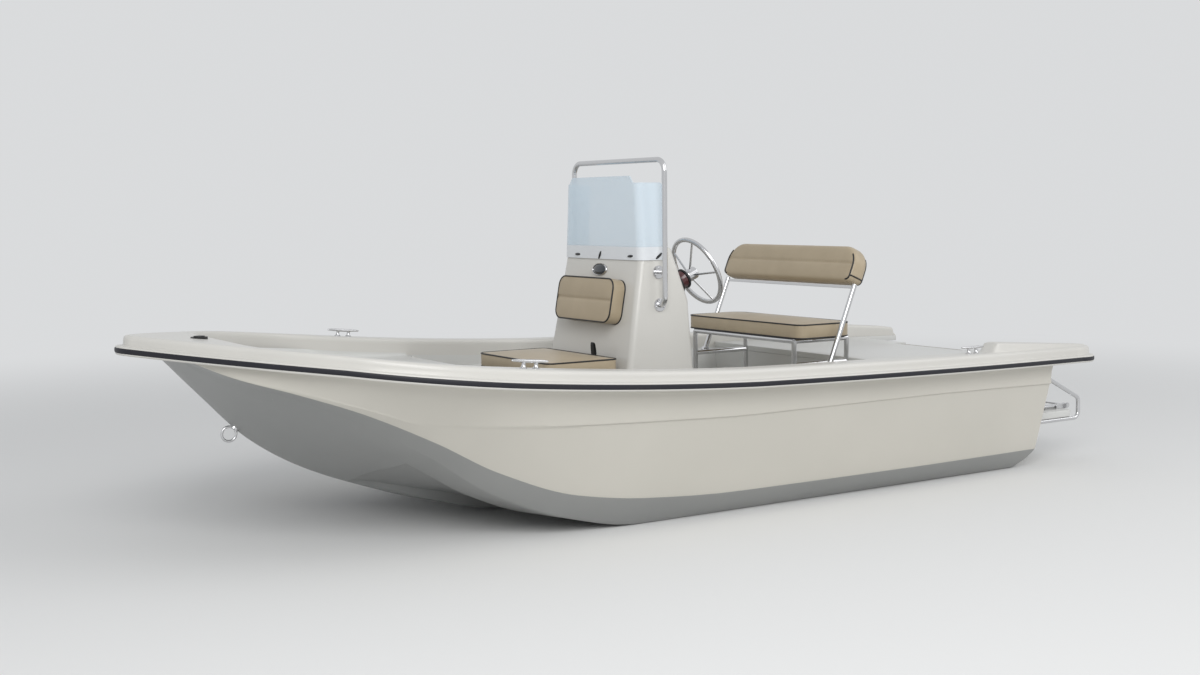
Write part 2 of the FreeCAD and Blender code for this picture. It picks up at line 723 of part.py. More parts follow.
def hinge_pin(x, z, half, radius):
    """Round pin of a long hinge."""
    return Part.makeCylinder(radius, 2.0 * half, Vector(x, -half, z), Vector(0, 1, 0))


def hinged_board(board, edge_x, z, half):
    """Board with the moving knuckles of a long hinge ahead of its front edge."""
    x = edge_x + HINGE_RADIUS + HINGE_CLEARANCE
    pieces = []
    for ring in knuckles(x, z, half, True):
        low_y, high_y = ring.BoundBox.YMin, ring.BoundBox.YMax
        lug = box((edge_x - HINGE_CLEARANCE, low_y, z), (x, high_y, z + HINGE_RADIUS))
        pieces += [ring, lug]
    bore = hinge_pin(x, z, half, HINGE_PIN_RADIUS + PIN_CLEARANCE)
    return board.fuse(pieces).cut(bore)


# Console
def make_console():
    """Console moulding standing on the cockpit floor."""
    profile = [(CONSOLE_X, FLOOR_Z), (CONSOLE_FRONT_FOOT_X, FLOOR_Z),
               (CONSOLE_FRONT_TOP_X, CONSOLE_TOP_Z), (CONSOLE_TOP_AFT_X, CONSOLE_TOP_Z),
               (CONSOLE_HELM_FOOT_X, CONSOLE_HELM_FOOT_Z)]
    body = side_prism(profile, 2.0 * CONSOLE_FOOT_HALF)
    front = plane_face([Vector(0, CONSOLE_FOOT_HALF, FLOOR_Z),
                        Vector(0, CONSOLE_TOP_HALF, CONSOLE_TOP_Z),
                        Vector(0, -CONSOLE_TOP_HALF, CONSOLE_TOP_Z),
                        Vector(0, -CONSOLE_FOOT_HALF, FLOOR_Z)])
    body = body.common(front.extrude(Vector(LENGTH, 0, 0)))
    return body.makeFillet(CONSOLE_EDGE_RADIUS, edges_along(body, Vector(0, 0, 1)))


def console_half(z):
    """Half width of the console at a height."""
    t = (z - FLOOR_Z) / (CONSOLE_TOP_Z - FLOOR_Z)
    return CONSOLE_FOOT_HALF + t * (CONSOLE_TOP_HALF - CONSOLE_FOOT_HALF)


def console_front_x(z):
    """Place of the console's front face at a height."""
    t = (z - FLOOR_Z) / (CONSOLE_TOP_Z - FLOOR_Z)
    return CONSOLE_FRONT_FOOT_X + t * (CONSOLE_FRONT_TOP_X - CONSOLE_FRONT_FOOT_X)


def front_tilt():
    """Lean of the console's front face from upright, in degrees."""
    run = CONSOLE_FRONT_FOOT_X - CONSOLE_FRONT_TOP_X
    return math.degrees(math.atan2(run, CONSOLE_TOP_Z - FLOOR_Z))


def on_console_front(shape, z):
    """Set a piece built looking along +Z onto the front face at a height."""
    shape.rotate(Vector(0, 0, 0), Vector(0, 1, 0), 90.0 - front_tilt())
    shape.translate(Vector(console_front_x(z), 0, z))
    return shape


def shield_wire(z, inset, half):
    """Open-backed plan of the windshield at one height, inset by a thickness."""
    front_x = console_front_x(SHIELD_FOOT_Z) + SHIELD_GAP + SHIELD_THICKNESS - inset
    aft_x = front_x - SHIELD_SIDE + inset
    y = half - inset
    corner = SHIELD_CORNER - inset
    diagonal = corner * (1.0 - math.sqrt(0.5))
    return [Vector(aft_x, y, z), Vector(front_x - corner, y, z),
            Vector(front_x - diagonal, y - diagonal, z), Vector(front_x, y - corner, z)]


def shield_section(z, half):
    """Closed section of the windshield at one height, a bent strip open aft."""
    outer = shield_wire(z, 0.0, half)
    inner = shield_wire(z, SHIELD_THICKNESS, half)
    edges = []
    for run in (outer, inner):
        a, b, c, d = run
        e, f, g, h = [Vector(p.x, -p.y, p.z) for p in run]
        edges += [Part.makeLine(a, b), Part.Arc(b, c, d).toShape(), Part.makeLine(d, h),
                  Part.Arc(h, g, f).toShape(), Part.makeLine(f, e)]
    for side in (1.0, -1.0):
        ends = [Vector(run[0].x, side * run[0].y, z) for run in (outer, inner)]
        edges.append(Part.makeLine(ends[0], ends[1]))
    return Part.Wire(Part.__sortEdges__(edges))


def make_windshield():
    """Clear windshield wrapped round the console top, with a raised centre."""
    foot_half = console_half(SHIELD_FOOT_Z) + SHIELD_GAP + SHIELD_THICKNESS
    sections = [shield_section(SHIELD_FOOT_Z, foot_half), shield_section(SHIELD_TOP_Z, SHIELD_TOP_HALF)]
    shield = Part.makeLoft(sections, True, True)
    over_z = SHIELD_TOP_Z + SHIELD_OVERCUT
    corners = [(SHIELD_RAISED_HALF, over_z), (SHIELD_RAISED_HALF + SHIELD_SHOULDER, SHIELD_WING_Z),
               (HALF_BEAM, SHIELD_WING_Z), (HALF_BEAM, over_z)]
    trims = []
    for side in (1.0, -1.0):
        face = plane_face([Vector(0, side * y, z) for y, z in corners])
        trims.append(face.extrude(Vector(LENGTH, 0, 0)))
    return shield.cut(trims)


def make_grab_rail(console):
    """Stainless hoop over the windshield with round flanges on the console sides."""
    low_y = console_half(RAIL_FOOT_Z) - SINK
    corner_z = RAIL_TOP_Z - RAIL_RADIUS
    pieces = []
    for side in (1.0, -1.0):
        foot = Vector(RAIL_X, side * low_y, RAIL_FOOT_Z)
        elbow = Vector(RAIL_X, side * RAIL_HALF, RAIL_FOOT_Z)
        stay = Vector(RAIL_X, side * RAIL_HALF, RAIL_STAY_Z)
        pieces.append(tube([foot, elbow, stay], RAIL_RADIUS, RAIL_FOOT_BEND))
        inner = Vector(RAIL_X, side * (console_half(RAIL_STAY_Z) - SINK), RAIL_STAY_Z)
        pieces.append(tube([inner, stay], RAIL_STAY_RADIUS))
        for z in (RAIL_FOOT_Z, RAIL_STAY_Z):
            start = Vector(RAIL_X, side * (console_half(z) - SINK), z)
            pieces.append(Part.makeCylinder(FLANGE_RADIUS, FLANGE_THICKNESS + SINK, start,
                                            Vector(0, side, 0)))
    hoop = [Vector(RAIL_X, RAIL_HALF, RAIL_STAY_Z), Vector(RAIL_X, RAIL_HALF, corner_z),
            Vector(RAIL_X, -RAIL_HALF, corner_z), Vector(RAIL_X, -RAIL_HALF, RAIL_STAY_Z)]
    return tube(hoop, RAIL_RADIUS, RAIL_TOP_BEND).fuse(pieces).cut(console)


def make_vent():
    """Oval clam vent on the console front."""
    radius = VENT_HEIGHT / 2.0
    dome = Part.makeSphere(radius).common(box((-radius, -radius, 0), (radius, radius, radius)))
    oval = FreeCAD.Matrix()
    oval.scale(Vector(1.0, VENT_WIDTH / VENT_HEIGHT, VENT_DEPTH / radius))
    return on_console_front(dome.transformGeometry(oval), VENT_Z)


def make_console_pad():
    """Cushion on the console front."""
    pad = soft_block((PAD_HEIGHT, PAD_WIDTH, PAD_DEPTH), PAD_CORNER, PAD_EDGE)
    pad.translate(Vector(0, 0, GAP))
    return on_console_front(pad, PAD_Z)


# Front seat
def make_seat_box(console):
    """Moulded locker in front of the console, open at the top."""
    aft_x = CONSOLE_HELM_FOOT_X
    wall = SEAT_BOX_WALL
    outer = box((aft_x, -SEAT_BOX_HALF, FLOOR_Z), (SEAT_BOX_FRONT_X, SEAT_BOX_HALF, SEAT_BOX_TOP_Z))
    corners = [e for e in edges_along(outer, Vector(0, 0, 1)) if e.CenterOfMass.x > aft_x + wall]
    outer = outer.makeFillet(SEAT_BOX_CORNER, corners)
    inner = box((CONSOLE_FRONT_FOOT_X + wall, wall - SEAT_BOX_HALF, FLOOR_Z + wall),
                (SEAT_BOX_FRONT_X - wall, SEAT_BOX_HALF - wall, SEAT_BOX_TOP_Z + wall))
    return outer.cut([inner, console])


def make_seat_hinge():
    """Fixed half of the front lid's hinge: leaf on the locker's face, knuckles and pin."""
    half = SEAT_BOX_HALF - SEAT_BOX_CORNER - HINGE_MARGIN
    x = SEAT_BOX_FRONT_X + HINGE_RADIUS + HINGE_CLEARANCE
    z = SEAT_BOX_TOP_Z + GAP
    leaf_z = z - HINGE_RADIUS - HINGE_CLEARANCE
    pieces = [hinge_pin(x, z, half, HINGE_PIN_RADIUS)]
    for ring in knuckles(x, z, half, False):
        web = box((SEAT_BOX_FRONT_X, ring.BoundBox.YMin, leaf_z - HINGE_LEAF),
                  (x, ring.BoundBox.YMax, z - HINGE_CLEARANCE))
        pieces += [ring, web]
    leaf = box((SEAT_BOX_FRONT_X, -half, leaf_z - HINGE_LEAF_WIDTH),
               (SEAT_BOX_FRONT_X + HINGE_LEAF, half, leaf_z))
    return leaf.fuse(pieces)


def make_seat_lid():
    """Lid board of the front locker, with its hinge knuckles."""
    low = SEAT_BOX_TOP_Z + GAP
    lid = box((SEAT_LID_AFT_X, -SEAT_BOX_HALF, low),
              (SEAT_BOX_FRONT_X, SEAT_BOX_HALF, low + SEAT_LID_THICKNESS))
    lid = lid.makeFillet(SEAT_LID_CORNER, edges_along(lid, Vector(0, 0, 1)))
    return hinged_board(lid, SEAT_BOX_FRONT_X, low, SEAT_BOX_HALF - SEAT_BOX_CORNER - HINGE_MARGIN)


def make_front_cushion():
    """Cushion on the front locker's lid."""
    depth = SEAT_BOX_FRONT_X + SEAT_CUSHION_OVERHANG - SEAT_LID_AFT_X
    cushion = soft_block((depth, 2.0 * SEAT_CUSHION_HALF, SEAT_CUSHION_THICKNESS),
                         SEAT_CUSHION_CORNER, SEAT_CUSHION_EDGE)
    low = SEAT_BOX_TOP_Z + SEAT_LID_THICKNESS + 2.0 * GAP
    cushion.translate(Vector(SEAT_LID_AFT_X + depth / 2.0, 0, low))
    return cushion


# Bow locker hatch
def make_bow_hatch():
    """Hatch board over the bow locker, with its hinge knuckles."""
    low = BOW_DECK_Z + GAP
    front_x = LOCKER_FRONT_X + HATCH_OVERLAP
    half = LOCKER_HALF + HATCH_OVERLAP
    board = box((LOCKER_AFT_X - HATCH_OVERLAP, -half, low), (front_x, half, low + HATCH_THICKNESS))
    board = board.makeFillet(HATCH_CORNER, edges_along(board, Vector(0, 0, 1)))
    return hinged_board(board, front_x, low + HINGE_RADIUS, half - HATCH_CORNER - HINGE_MARGIN)


def make_bow_hinge():
    """Fixed half of the bow hatch's hinge: leaf flat on the deck, knuckles and pin."""
    half = LOCKER_HALF + HATCH_OVERLAP - HATCH_CORNER - HINGE_MARGIN
    x = LOCKER_FRONT_X + HATCH_OVERLAP + HINGE_RADIUS + HINGE_CLEARANCE
    z = BOW_DECK_Z + GAP + HINGE_RADIUS
    pieces = [hinge_pin(x, z, half, HINGE_PIN_RADIUS)]
    leaf_x = x + HINGE_RADIUS + HINGE_CLEARANCE
    for ring in knuckles(x, z, half, False):
        web = box((x, ring.BoundBox.YMin, BOW_DECK_Z), (leaf_x + HINGE_LEAF, ring.BoundBox.YMax, z))
        pieces += [ring, web]
    leaf = box((leaf_x, -half, BOW_DECK_Z), (leaf_x + HINGE_LEAF_WIDTH, half, BOW_DECK_Z + HINGE_LEAF))
    return leaf.fuse(pieces)


# Helm seat
def make_bench_frame():
    """Tube frame of the helm seat: top ring, four legs, side rails and pivot pins."""
    low = BENCH_TOP_Z - BENCH_CUSHION - GAP - BENCH_TUBE_RADIUS
    aft = BENCH_AFT_X + BENCH_FRAME_AFT_INSET
    front = BENCH_AFT_X + BENCH_DEPTH - BENCH_FRAME_FRONT_INSET
    pin_reach = POST_Y + POST_RADIUS + PIVOT_PIN_PROUD
    pieces = []
    for y in (BENCH_FRAME_HALF, -BENCH_FRAME_HALF):
        side = math.copysign(1.0, y)
        pieces.append(tube([Vector(aft, y, low), Vector(front, y, low)], BENCH_TUBE_RADIUS))
        pieces.append(tube([Vector(aft, y, PIVOT_Z), Vector(front, y, PIVOT_Z)], BENCH_TUBE_RADIUS))
        pieces.append(tube([Vector(PIVOT_X, y, PIVOT_Z), Vector(PIVOT_X, side * pin_reach, PIVOT_Z)],
                           PIVOT_PIN_RADIUS))
        for x in (aft, front):
            pieces.append(tube([Vector(x, y, FLOOR_Z), Vector(x, y, low)], BENCH_TUBE_RADIUS))
            pieces.append(Part.makeCylinder(BENCH_FOOT_RADIUS, BENCH_FOOT_THICKNESS, Vector(x, y, FLOOR_Z)))
    for x in (aft, front):
        pieces.append(tube([Vector(x, -BENCH_FRAME_HALF, low), Vector(x, BENCH_FRAME_HALF, low)],
                           BENCH_TUBE_RADIUS))
    return pieces[0].fuse(pieces[1:])


def make_bench_cushion():
    """Seat cushion of the helm seat."""
    cushion = soft_block((BENCH_DEPTH, 2.0 * BENCH_HALF, BENCH_CUSHION), BENCH_CORNER, BENCH_EDGE)
    cushion.translate(Vector(BENCH_AFT_X + BENCH_DEPTH / 2.0, 0, BENCH_TOP_Z - BENCH_CUSHION))
    return cushion


def lean_back(shape):
    """Lean a piece built upright over the pivot aft by the seat's own angle."""
    shape.rotate(Vector(0, 0, 0), Vector(0, 1, 0), -POST_LEAN)
    shape.translate(Vector(PIVOT_X, 0, PIVOT_Z))
    return shape


def make_post(side):
    """Post of the swinging backrest, with its eye round the pivot pin."""
    y = side * POST_Y
    bar = tube([Vector(0, y, 0), Vector(0, y, BACK_BOTTOM + POST_SINK)], POST_RADIUS)
    across = Vector(0, 1, 0)
    eye = Part.makeCylinder(PIVOT_EYE_RADIUS, 2.0 * POST_RADIUS, Vector(0, y - POST_RADIUS, 0), across)
    bore = Part.makeCylinder(PIVOT_PIN_RADIUS + PIN_CLEARANCE, 4.0 * POST_RADIUS,
                             Vector(0, y - 2.0 * POST_RADIUS, 0), across)
    return lean_back(bar.fuse(eye).cut(bore))


def make_back_bar():
    """Bar that joins the two posts under the back cushion."""
    z = BACK_BOTTOM - POST_RADIUS
    y = POST_Y - POST_RADIUS
    bar = box((-BAR_HALF_WIDTH, -y, z - BAR_HALF_HEIGHT), (BAR_HALF_WIDTH, y, z + BAR_HALF_HEIGHT))
    return lean_back(bar)


def make_back_cushion():
    """Back cushion with round upper corners, carried by the posts."""
    base = BACK_BOTTOM + POST_SINK + GAP
    block = box((-BACK_THICKNESS / 2.0, -BACK_HALF, base),
                (BACK_THICKNESS / 2.0, BACK_HALF, base + BACK_HEIGHT))
    corners = [e for e in edges_along(block, Vector(1, 0, 0)) if e.CenterOfMass.z > base + GAP]
    block = block.makeFillet(BACK_CORNER, corners)
    rims = [e for e in block.Edges if e.BoundBox.XLength < GAP]
    return lean_back(block.makeFillet(BACK_EDGE, rims))


# Steering wheel
def on_wheel_axis(shape):
    """Set a piece built round +Z onto the steering axis, with +Z towards the helm seat."""
    shape.rotate(Vector(0, 0, 0), Vector(0, 1, 0), WHEEL_TILT - 90.0)
    shape.translate(Vector(WHEEL_X, WHEEL_Y, WHEEL_Z))
    return shape


def make_wheel():
    """Rim, spokes and hub of the steering wheel."""
    ring = WHEEL_RADIUS - WHEEL_RIM_RADIUS
    rim = keep("wheel_rim", on_wheel_axis(Part.makeTorus(ring, WHEEL_RIM_RADIUS)))
    hub = Part.makeCylinder(HUB_RADIUS, HUB_LENGTH, Vector(0, 0, -HUB_DISH - HUB_LENGTH / 2.0))
    hub = hub.makeFillet(HUB_EDGE, [e for e in hub.Edges if e.BoundBox.ZLength < GAP])
    hub = keep("wheel_hub", on_wheel_axis(hub))
    for number in range(WHEEL_SPOKES):
        angle = math.radians(FIRST_SPOKE + 360.0 * number / WHEEL_SPOKES)
        direction = Vector(math.cos(angle), math.sin(angle), 0)
        start = direction * (HUB_RADIUS - SINK) - Vector(0, 0, HUB_DISH)
        spoke = on_wheel_axis(tube([start, direction * ring], SPOKE_RADIUS))
        keep("wheel_spoke_%d" % (number + 1), spoke.cut([rim, hub]))


def make_helm(console):
    """Helm bezel and steering shaft on the console's aft face."""
    hub_end = -HUB_DISH - HUB_LENGTH / 2.0 - GAP
    bezel = Part.makeCylinder(BEZEL_RADIUS, BEZEL_LENGTH, Vector(0, 0, -BEZEL_BACK))
    shaft = Part.makeCylinder(SHAFT_RADIUS, SHAFT_BACK + hub_end, Vector(0, 0, -SHAFT_BACK))
    return on_wheel_axis(bezel.fuse(shaft)).cut(console)


# Deck fittings
def make_cleat():
    """Horn cleat lying along X, with its legs a little below the deck plane."""
    half = CLEAT_LENGTH / 2.0
    bar_z = CLEAT_HEIGHT - CLEAT_HORN_RADIUS
    horns = [Part.makeCone(CLEAT_HORN_RADIUS, CLEAT_TIP_RADIUS, half, Vector(0, 0, bar_z), Vector(way, 0, 0))
             for way in (1, -1)]
    legs = [Part.makeCone(CLEAT_LEG_RADIUS, CLEAT_LEG_TOP_RADIUS, bar_z + SINK, Vector(x, 0, -SINK))
            for x in (-CLEAT_LEG_X, CLEAT_LEG_X)]
    return horns[0].fuse(horns[1:] + legs)


def gunwale_top(x):
    """Height of the gunwale's flat top at a place."""
    return sheer_z(x) + GUNWALE_RISE


def set_cleat(x, inset, side, gunwale):
    """Cleat seated on the gunwale and turned along its edge."""
    reach = 2.0 * CLEAT_LEG_X
    ahead = gunwale_y(x + reach) - gunwale_y(x - reach)
    rise = gunwale_top(x + reach) - gunwale_top(x - reach)
    cleat = make_cleat()
    cleat.rotate(Vector(0, 0, 0), Vector(0, 1, 0), -math.degrees(math.atan2(rise, 2.0 * reach)))
    cleat.rotate(Vector(0, 0, 0), Vector(0, 0, 1), side * math.degrees(math.atan2(ahead, 2.0 * reach)))
    cleat.translate(Vector(x, side * (gunwale_y(x) - inset), gunwale_top(x)))
    return cleat.cut(gunwale)


def make_bow_light(gunwale):
    """Flat combined bow light on the foredeck, a ring with a low lens."""
    x = LENGTH - LIGHT_BACK
    foot = Vector(x, 0, gunwale_top(x) - SINK)
    base = Part.makeCylinder(LIGHT_BASE_RADIUS, LIGHT_BASE_HEIGHT + SINK, foot)
    lens = Part.makeCylinder(LIGHT_LENS_RADIUS, LIGHT_LENS_HEIGHT + SINK, foot)
    return base.fuse(lens).cut(gunwale)


def stem_point(z):
    """Point of the stem at a height, and the way it faces."""
    low_x, high_x = STATION_PLACES[2], STATION_PLACES[-1]
    while high_x - low_x > GAP:
        x = (low_x + high_x) / 2.0
        if hull_value("keel_z", x) < z:
            low_x = x
        else:
            high_x = x
    run = Vector(2.0 * EYE_RADIUS, 0, hull_value("keel_z", low_x + EYE_RADIUS)
                 - hull_value("keel_z", low_x - EYE_RADIUS))
    return Vector(low_x, 0, z), Vector(run.z, 0, -run.x).normalize()


def make_bow_eye(hull):
    """Towing eye on the stem: a wire loop on a round foot, square to the stem."""
    seat, out = stem_point(EYE_Z)
    plate = Part.makeCylinder(EYE_FOOT_RADIUS, EYE_FOOT_THICKNESS + SINK, seat - out * SINK, out)
    centre = seat + out * (EYE_FOOT_THICKNESS + EYE_RADIUS - EYE_WIRE / 2.0)
    return Part.makeTorus(EYE_RADIUS, EYE_WIRE, centre, Vector(0, 1, 0)).fuse(plate).cut(hull)


# Stern platform and ladder
def transom_x(z):
    """Place of the transom at a height."""
    return TRANSOM_TOP_X + math.tan(math.radians(TRANSOM_RAKE)) * (TRANSOM_TOP_Z - z)


def ahead_of_transom():
    """Everything forward of the transom's raked plane."""
    low, high = -OVERRUN, TALL
    return side_prism([(transom_x(low), low), (LENGTH, low), (LENGTH, high), (transom_x(high), high)],
                      HALF_BEAM)


def make_motor_board():
    """Flat board on the transom that takes the motor's clamps."""
    corners = [(transom_x(BOARD_LOW_Z), BOARD_LOW_Z), (transom_x(BOARD_HIGH_Z), BOARD_HIGH_Z),
               (transom_x(BOARD_HIGH_Z) - BOARD_THICKNESS, BOARD_HIGH_Z),
               (transom_x(BOARD_LOW_Z) - BOARD_THICKNESS, BOARD_LOW_Z)]
    board = side_prism(corners, BOARD_HALF)
    ends = [e for e in board.Edges if e.Length < 2.0 * BOARD_THICKNESS]
    return board.makeFillet(BOARD_CORNER, ends)


def make_platform():
    """Boarding step behind the transom."""
    low = PAD_TOP_Z - PAD_THICKNESS
    pad = box((PAD_AFT_X, PAD_INNER_Y, low), (TRANSOM_TOP_X + HEEL_RADIUS, PAD_OUTER_Y, PAD_TOP_Z))
    corners = [e for e in edges_along(pad, Vector(0, 0, 1)) if e.CenterOfMass.x < PAD_AFT_X + GAP]
    return pad.makeFillet(PLATFORM_CORNER, corners).cut(ahead_of_transom())


def make_loop(y):
    """Bent tube that carries the platform, in an upright plane."""
    run_z = PAD_TOP_Z - PAD_THICKNESS - LOOP_RADIUS
    points = [Vector(transom_x(LOOP_TOP_Z) + LOOP_OVERLAP, y, LOOP_TOP_Z),
              Vector(LOOP_AFT_X, y, LOOP_ELBOW_Z), Vector(LOOP_AFT_X, y, run_z),
              Vector(transom_x(run_z) + LOOP_OVERLAP, y, run_z)]
    return tube(points, LOOP_RADIUS, LOOP_BEND).cut(ahead_of_transom())


def ladder_z():
    """Height of the stowed ladder's tubes."""
    return PAD_TOP_Z + LADDER_RADIUS + LADDER_LIFT


def make_ladder():
    """Folding ladder stowed on the platform: two rails, two steps and bored eyes."""
    z = ladder_z()
    end = LADDER_HINGE_X + LADDER_LENGTH
    pieces = []
    bores = []
    for y in (LADDER_INNER_Y, LADDER_OUTER_Y):
        pieces.append(tube([Vector(LADDER_HINGE_X, y, z), Vector(end, y, z)], LADDER_RADIUS))
        low = Vector(LADDER_HINGE_X, y - LADDER_RADIUS, z)
        pieces.append(Part.makeCylinder(LADDER_RADIUS, 2.0 * LADDER_RADIUS, low, Vector(0, 1, 0)))
        bores.append(Part.makeCylinder(LADDER_PIN_RADIUS + PIN_CLEARANCE, 4.0 * LADDER_RADIUS,
                                       low - Vector(0, LADDER_RADIUS, 0), Vector(0, 1, 0)))
    for x in (end - LADDER_END_STEP, LADDER_HINGE_X + LADDER_LENGTH / 2.0):
        pieces.append(tube([Vector(x, LADDER_INNER_Y, z), Vector(x, LADDER_OUTER_Y, z)], LADDER_RADIUS))
    return pieces[0].fuse(pieces[1:]).cut(bores)


def make_ladder_hinge():
    """Cheek plates on the platform and the pin that carries the ladder."""
    z = ladder_z()
    low = LADDER_INNER_Y - LADDER_RADIUS - CHEEK_GAP - CHEEK
    high = LADDER_OUTER_Y + LADDER_RADIUS + CHEEK_GAP
    pin = tube([Vector(LADDER_HINGE_X, low, z), Vector(LADDER_HINGE_X, high + CHEEK, z)], LADDER_PIN_RADIUS)
    cheeks = []
    for y in (low, high):
        plate = box((LADDER_HINGE_X, y, PAD_TOP_Z), (PAD_AFT_X + CHEEK_LENGTH, y + CHEEK, z + CHEEK_RISE))
        nose = Part.makeCylinder(z - PAD_TOP_Z, CHEEK, Vector(LADDER_HINGE_X, y, z), Vector(0, 1, 0))
        cheeks += [plate, nose]
    return pin.fuse(cheeks)


def make_mouldings():
    """Hull, strip, gunwale, decks and liners; returns the hull and the gunwale."""
    cockpit_outer, bow_outer = cockpit(LINER_WALL), bow_well(LINER_WALL)
    well = cockpit(0.0).fuse(bow_well(0.0))
    hull = keep("hull", make_hull(cockpit_outer.fuse(bow_outer)))
    gunwale = keep("gunwale", make_gunwale(well))
    keep("rub_strip", make_strip())
    keep("aft_deck", make_aft_deck(well))
    make_liners(well, cockpit_outer, bow_outer)
    return hull, gunwale


def make_console_group():
    """Console, windshield, rail, vent and pad, and the front locker seat."""
    keep("windshield", make_windshield())
    console = keep("console", make_console())
    keep("grab_rail", make_grab_rail(console))
    keep("console_vent", make_vent())
    keep("console_cushion", make_console_pad())
    keep("front_seat_box", make_seat_box(console))
    keep("front_seat_hinge", make_seat_hinge())
    keep("front_seat_lid", make_seat_lid())
    keep("front_seat_cushion", make_front_cushion())
    make_wheel()
    keep("helm", make_helm(console))


def make_helm_seat():
    """Helm seat with its swinging backrest."""
    keep("bench_frame", make_bench_frame())
    keep("bench_cushion", make_bench_cushion())
    keep("back_post_port", make_post(1.0))
    keep("back_post_starboard", make_post(-1.0))
    keep("back_bar", make_back_bar())
    keep("back_cushion", make_back_cushion())


def make_fittings(hull, gunwale):
    """Cleats, bow light and eye, bow hatch, motor board, boarding step and ladder."""
    for row in CLEAT_PLACES:
        place = dict(zip(CLEAT_COLUMNS, row))
        for word, side in (("port", 1.0), ("starboard", -1.0)):
            cleat = set_cleat(place["x"], place["inset"], side, gunwale)
            keep("cleat_%s_%s" % (place["name"], word), cleat)
    keep("bow_light", make_bow_light(gunwale))
    keep("bow_eye", make_bow_eye(hull))
    keep("bow_hatch", make_bow_hatch())
    keep("bow_hinge", make_bow_hinge())
    keep("motor_board", make_motor_board())
    keep("platform_step", make_platform())
    keep("platform_loop_outer", make_loop(PAD_OUTER_Y - LOOP_RADIUS))
    keep("platform_loop_inner", make_loop(PAD_INNER_Y + LOOP_RADIUS))
    keep("ladder", make_ladder())
    keep("ladder_hinge", make_ladder_hinge())


make_console_group()
make_helm_seat()
make_fittings(*make_mouldings())

os.makedirs("parts", exist_ok=True)
for node, shape in NODES.items():
    shape.translate(Vector(-LENGTH / 2.0, 0, 0))
    solids = shape.Solids
    if len(solids) == 1:
        shape = solids[0]
    shape.exportStep("parts/%s.step" % node)
    b = shape.BoundBox
    print(node, len(solids), "valid" if shape.isValid() else "INVALID", round(shape.Volume / 1e6, 3),
          [round(v) for v in (b.XMin, b.XMax, b.YMin, b.YMax, b.ZMin, b.ZMax)])
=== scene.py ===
# %% [markdown]
# # A centre console skiff
# The boat comes in as a fixed frame of plain pieces. Each step below dresses one piece:
# the moulded hull and gunwale, the vinyl cushions, the polished steel, the clear windshield.

# %% Load the frame
import json
import math

import bmesh
import bpy
import mathutils
import numpy as np
from mathutils import Matrix, Vector


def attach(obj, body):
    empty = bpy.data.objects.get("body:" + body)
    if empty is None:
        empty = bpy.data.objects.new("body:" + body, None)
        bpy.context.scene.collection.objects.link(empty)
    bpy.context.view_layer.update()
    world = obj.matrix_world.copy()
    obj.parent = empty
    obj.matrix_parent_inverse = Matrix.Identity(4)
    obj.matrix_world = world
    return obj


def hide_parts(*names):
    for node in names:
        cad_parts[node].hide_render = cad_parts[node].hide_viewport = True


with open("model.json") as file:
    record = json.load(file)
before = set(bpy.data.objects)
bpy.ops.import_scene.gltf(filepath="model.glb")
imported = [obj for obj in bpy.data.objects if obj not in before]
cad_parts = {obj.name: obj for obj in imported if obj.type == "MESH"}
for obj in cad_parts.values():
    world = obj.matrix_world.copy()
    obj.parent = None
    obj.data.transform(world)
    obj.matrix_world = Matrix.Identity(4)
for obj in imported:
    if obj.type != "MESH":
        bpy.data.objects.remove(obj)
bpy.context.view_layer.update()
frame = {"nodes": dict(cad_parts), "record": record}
nodes = frame["nodes"]

# %% [markdown]
# ## Camera
# The photograph was taken from ahead of the port bow, a little above the gunwale. The lens
# and the place were found by matching the boat's mirrored pairs of points, so the camera is
# set from its heading, pitch and roll, and a focal length for a 36 mm wide sensor.

# %% Set the camera
SENSOR_WIDTH = 36.0
FOCAL_LENGTH = 44.04
CAMERA_PLACE = Vector((3.930, 5.836, 1.362))
CAMERA_HEADING = math.radians(-122.782)
CAMERA_PITCH = math.radians(-5.106)
CAMERA_ROLL = math.radians(-0.573)


def new_object(name, data):
    """Object with this data, linked to the scene."""
    thing = bpy.data.objects.new(name, data)
    bpy.context.scene.collection.objects.link(thing)
    return thing


def aim_camera():
    """Make the camera and turn it by heading, pitch and roll."""
    forward = Vector((math.cos(CAMERA_HEADING) * math.cos(CAMERA_PITCH),
                      math.sin(CAMERA_HEADING) * math.cos(CAMERA_PITCH),
                      math.sin(CAMERA_PITCH)))
    level = forward.cross(Vector((0, 0, 1))).normalized()
    upright = level.cross(forward)
    right = level * math.cos(CAMERA_ROLL) + upright * math.sin(CAMERA_ROLL)
    top = upright * math.cos(CAMERA_ROLL) - level * math.sin(CAMERA_ROLL)
    camera = new_object("camera", bpy.data.cameras.new("camera"))
    camera.data.sensor_width = SENSOR_WIDTH
    camera.data.lens = FOCAL_LENGTH
    camera.matrix_world = Matrix((
        (right.x, top.x, -forward.x, CAMERA_PLACE.x),
        (right.y, top.y, -forward.y, CAMERA_PLACE.y),
        (right.z, top.z, -forward.z, CAMERA_PLACE.z),
        (0, 0, 0, 1)))
    bpy.context.scene.camera = camera
    return camera


camera = aim_camera()
print("camera:", [round(v, 3) for v in camera.location])

# %% [markdown]
# ## Studio
# A boat on a plain pale floor under large soft lamps shows its own colours. The world and
# the lamps together light a surface at about the level at which its colour is written. Far out
# the floor fades into the backdrop's colour, so that no horizon shows behind the boat.

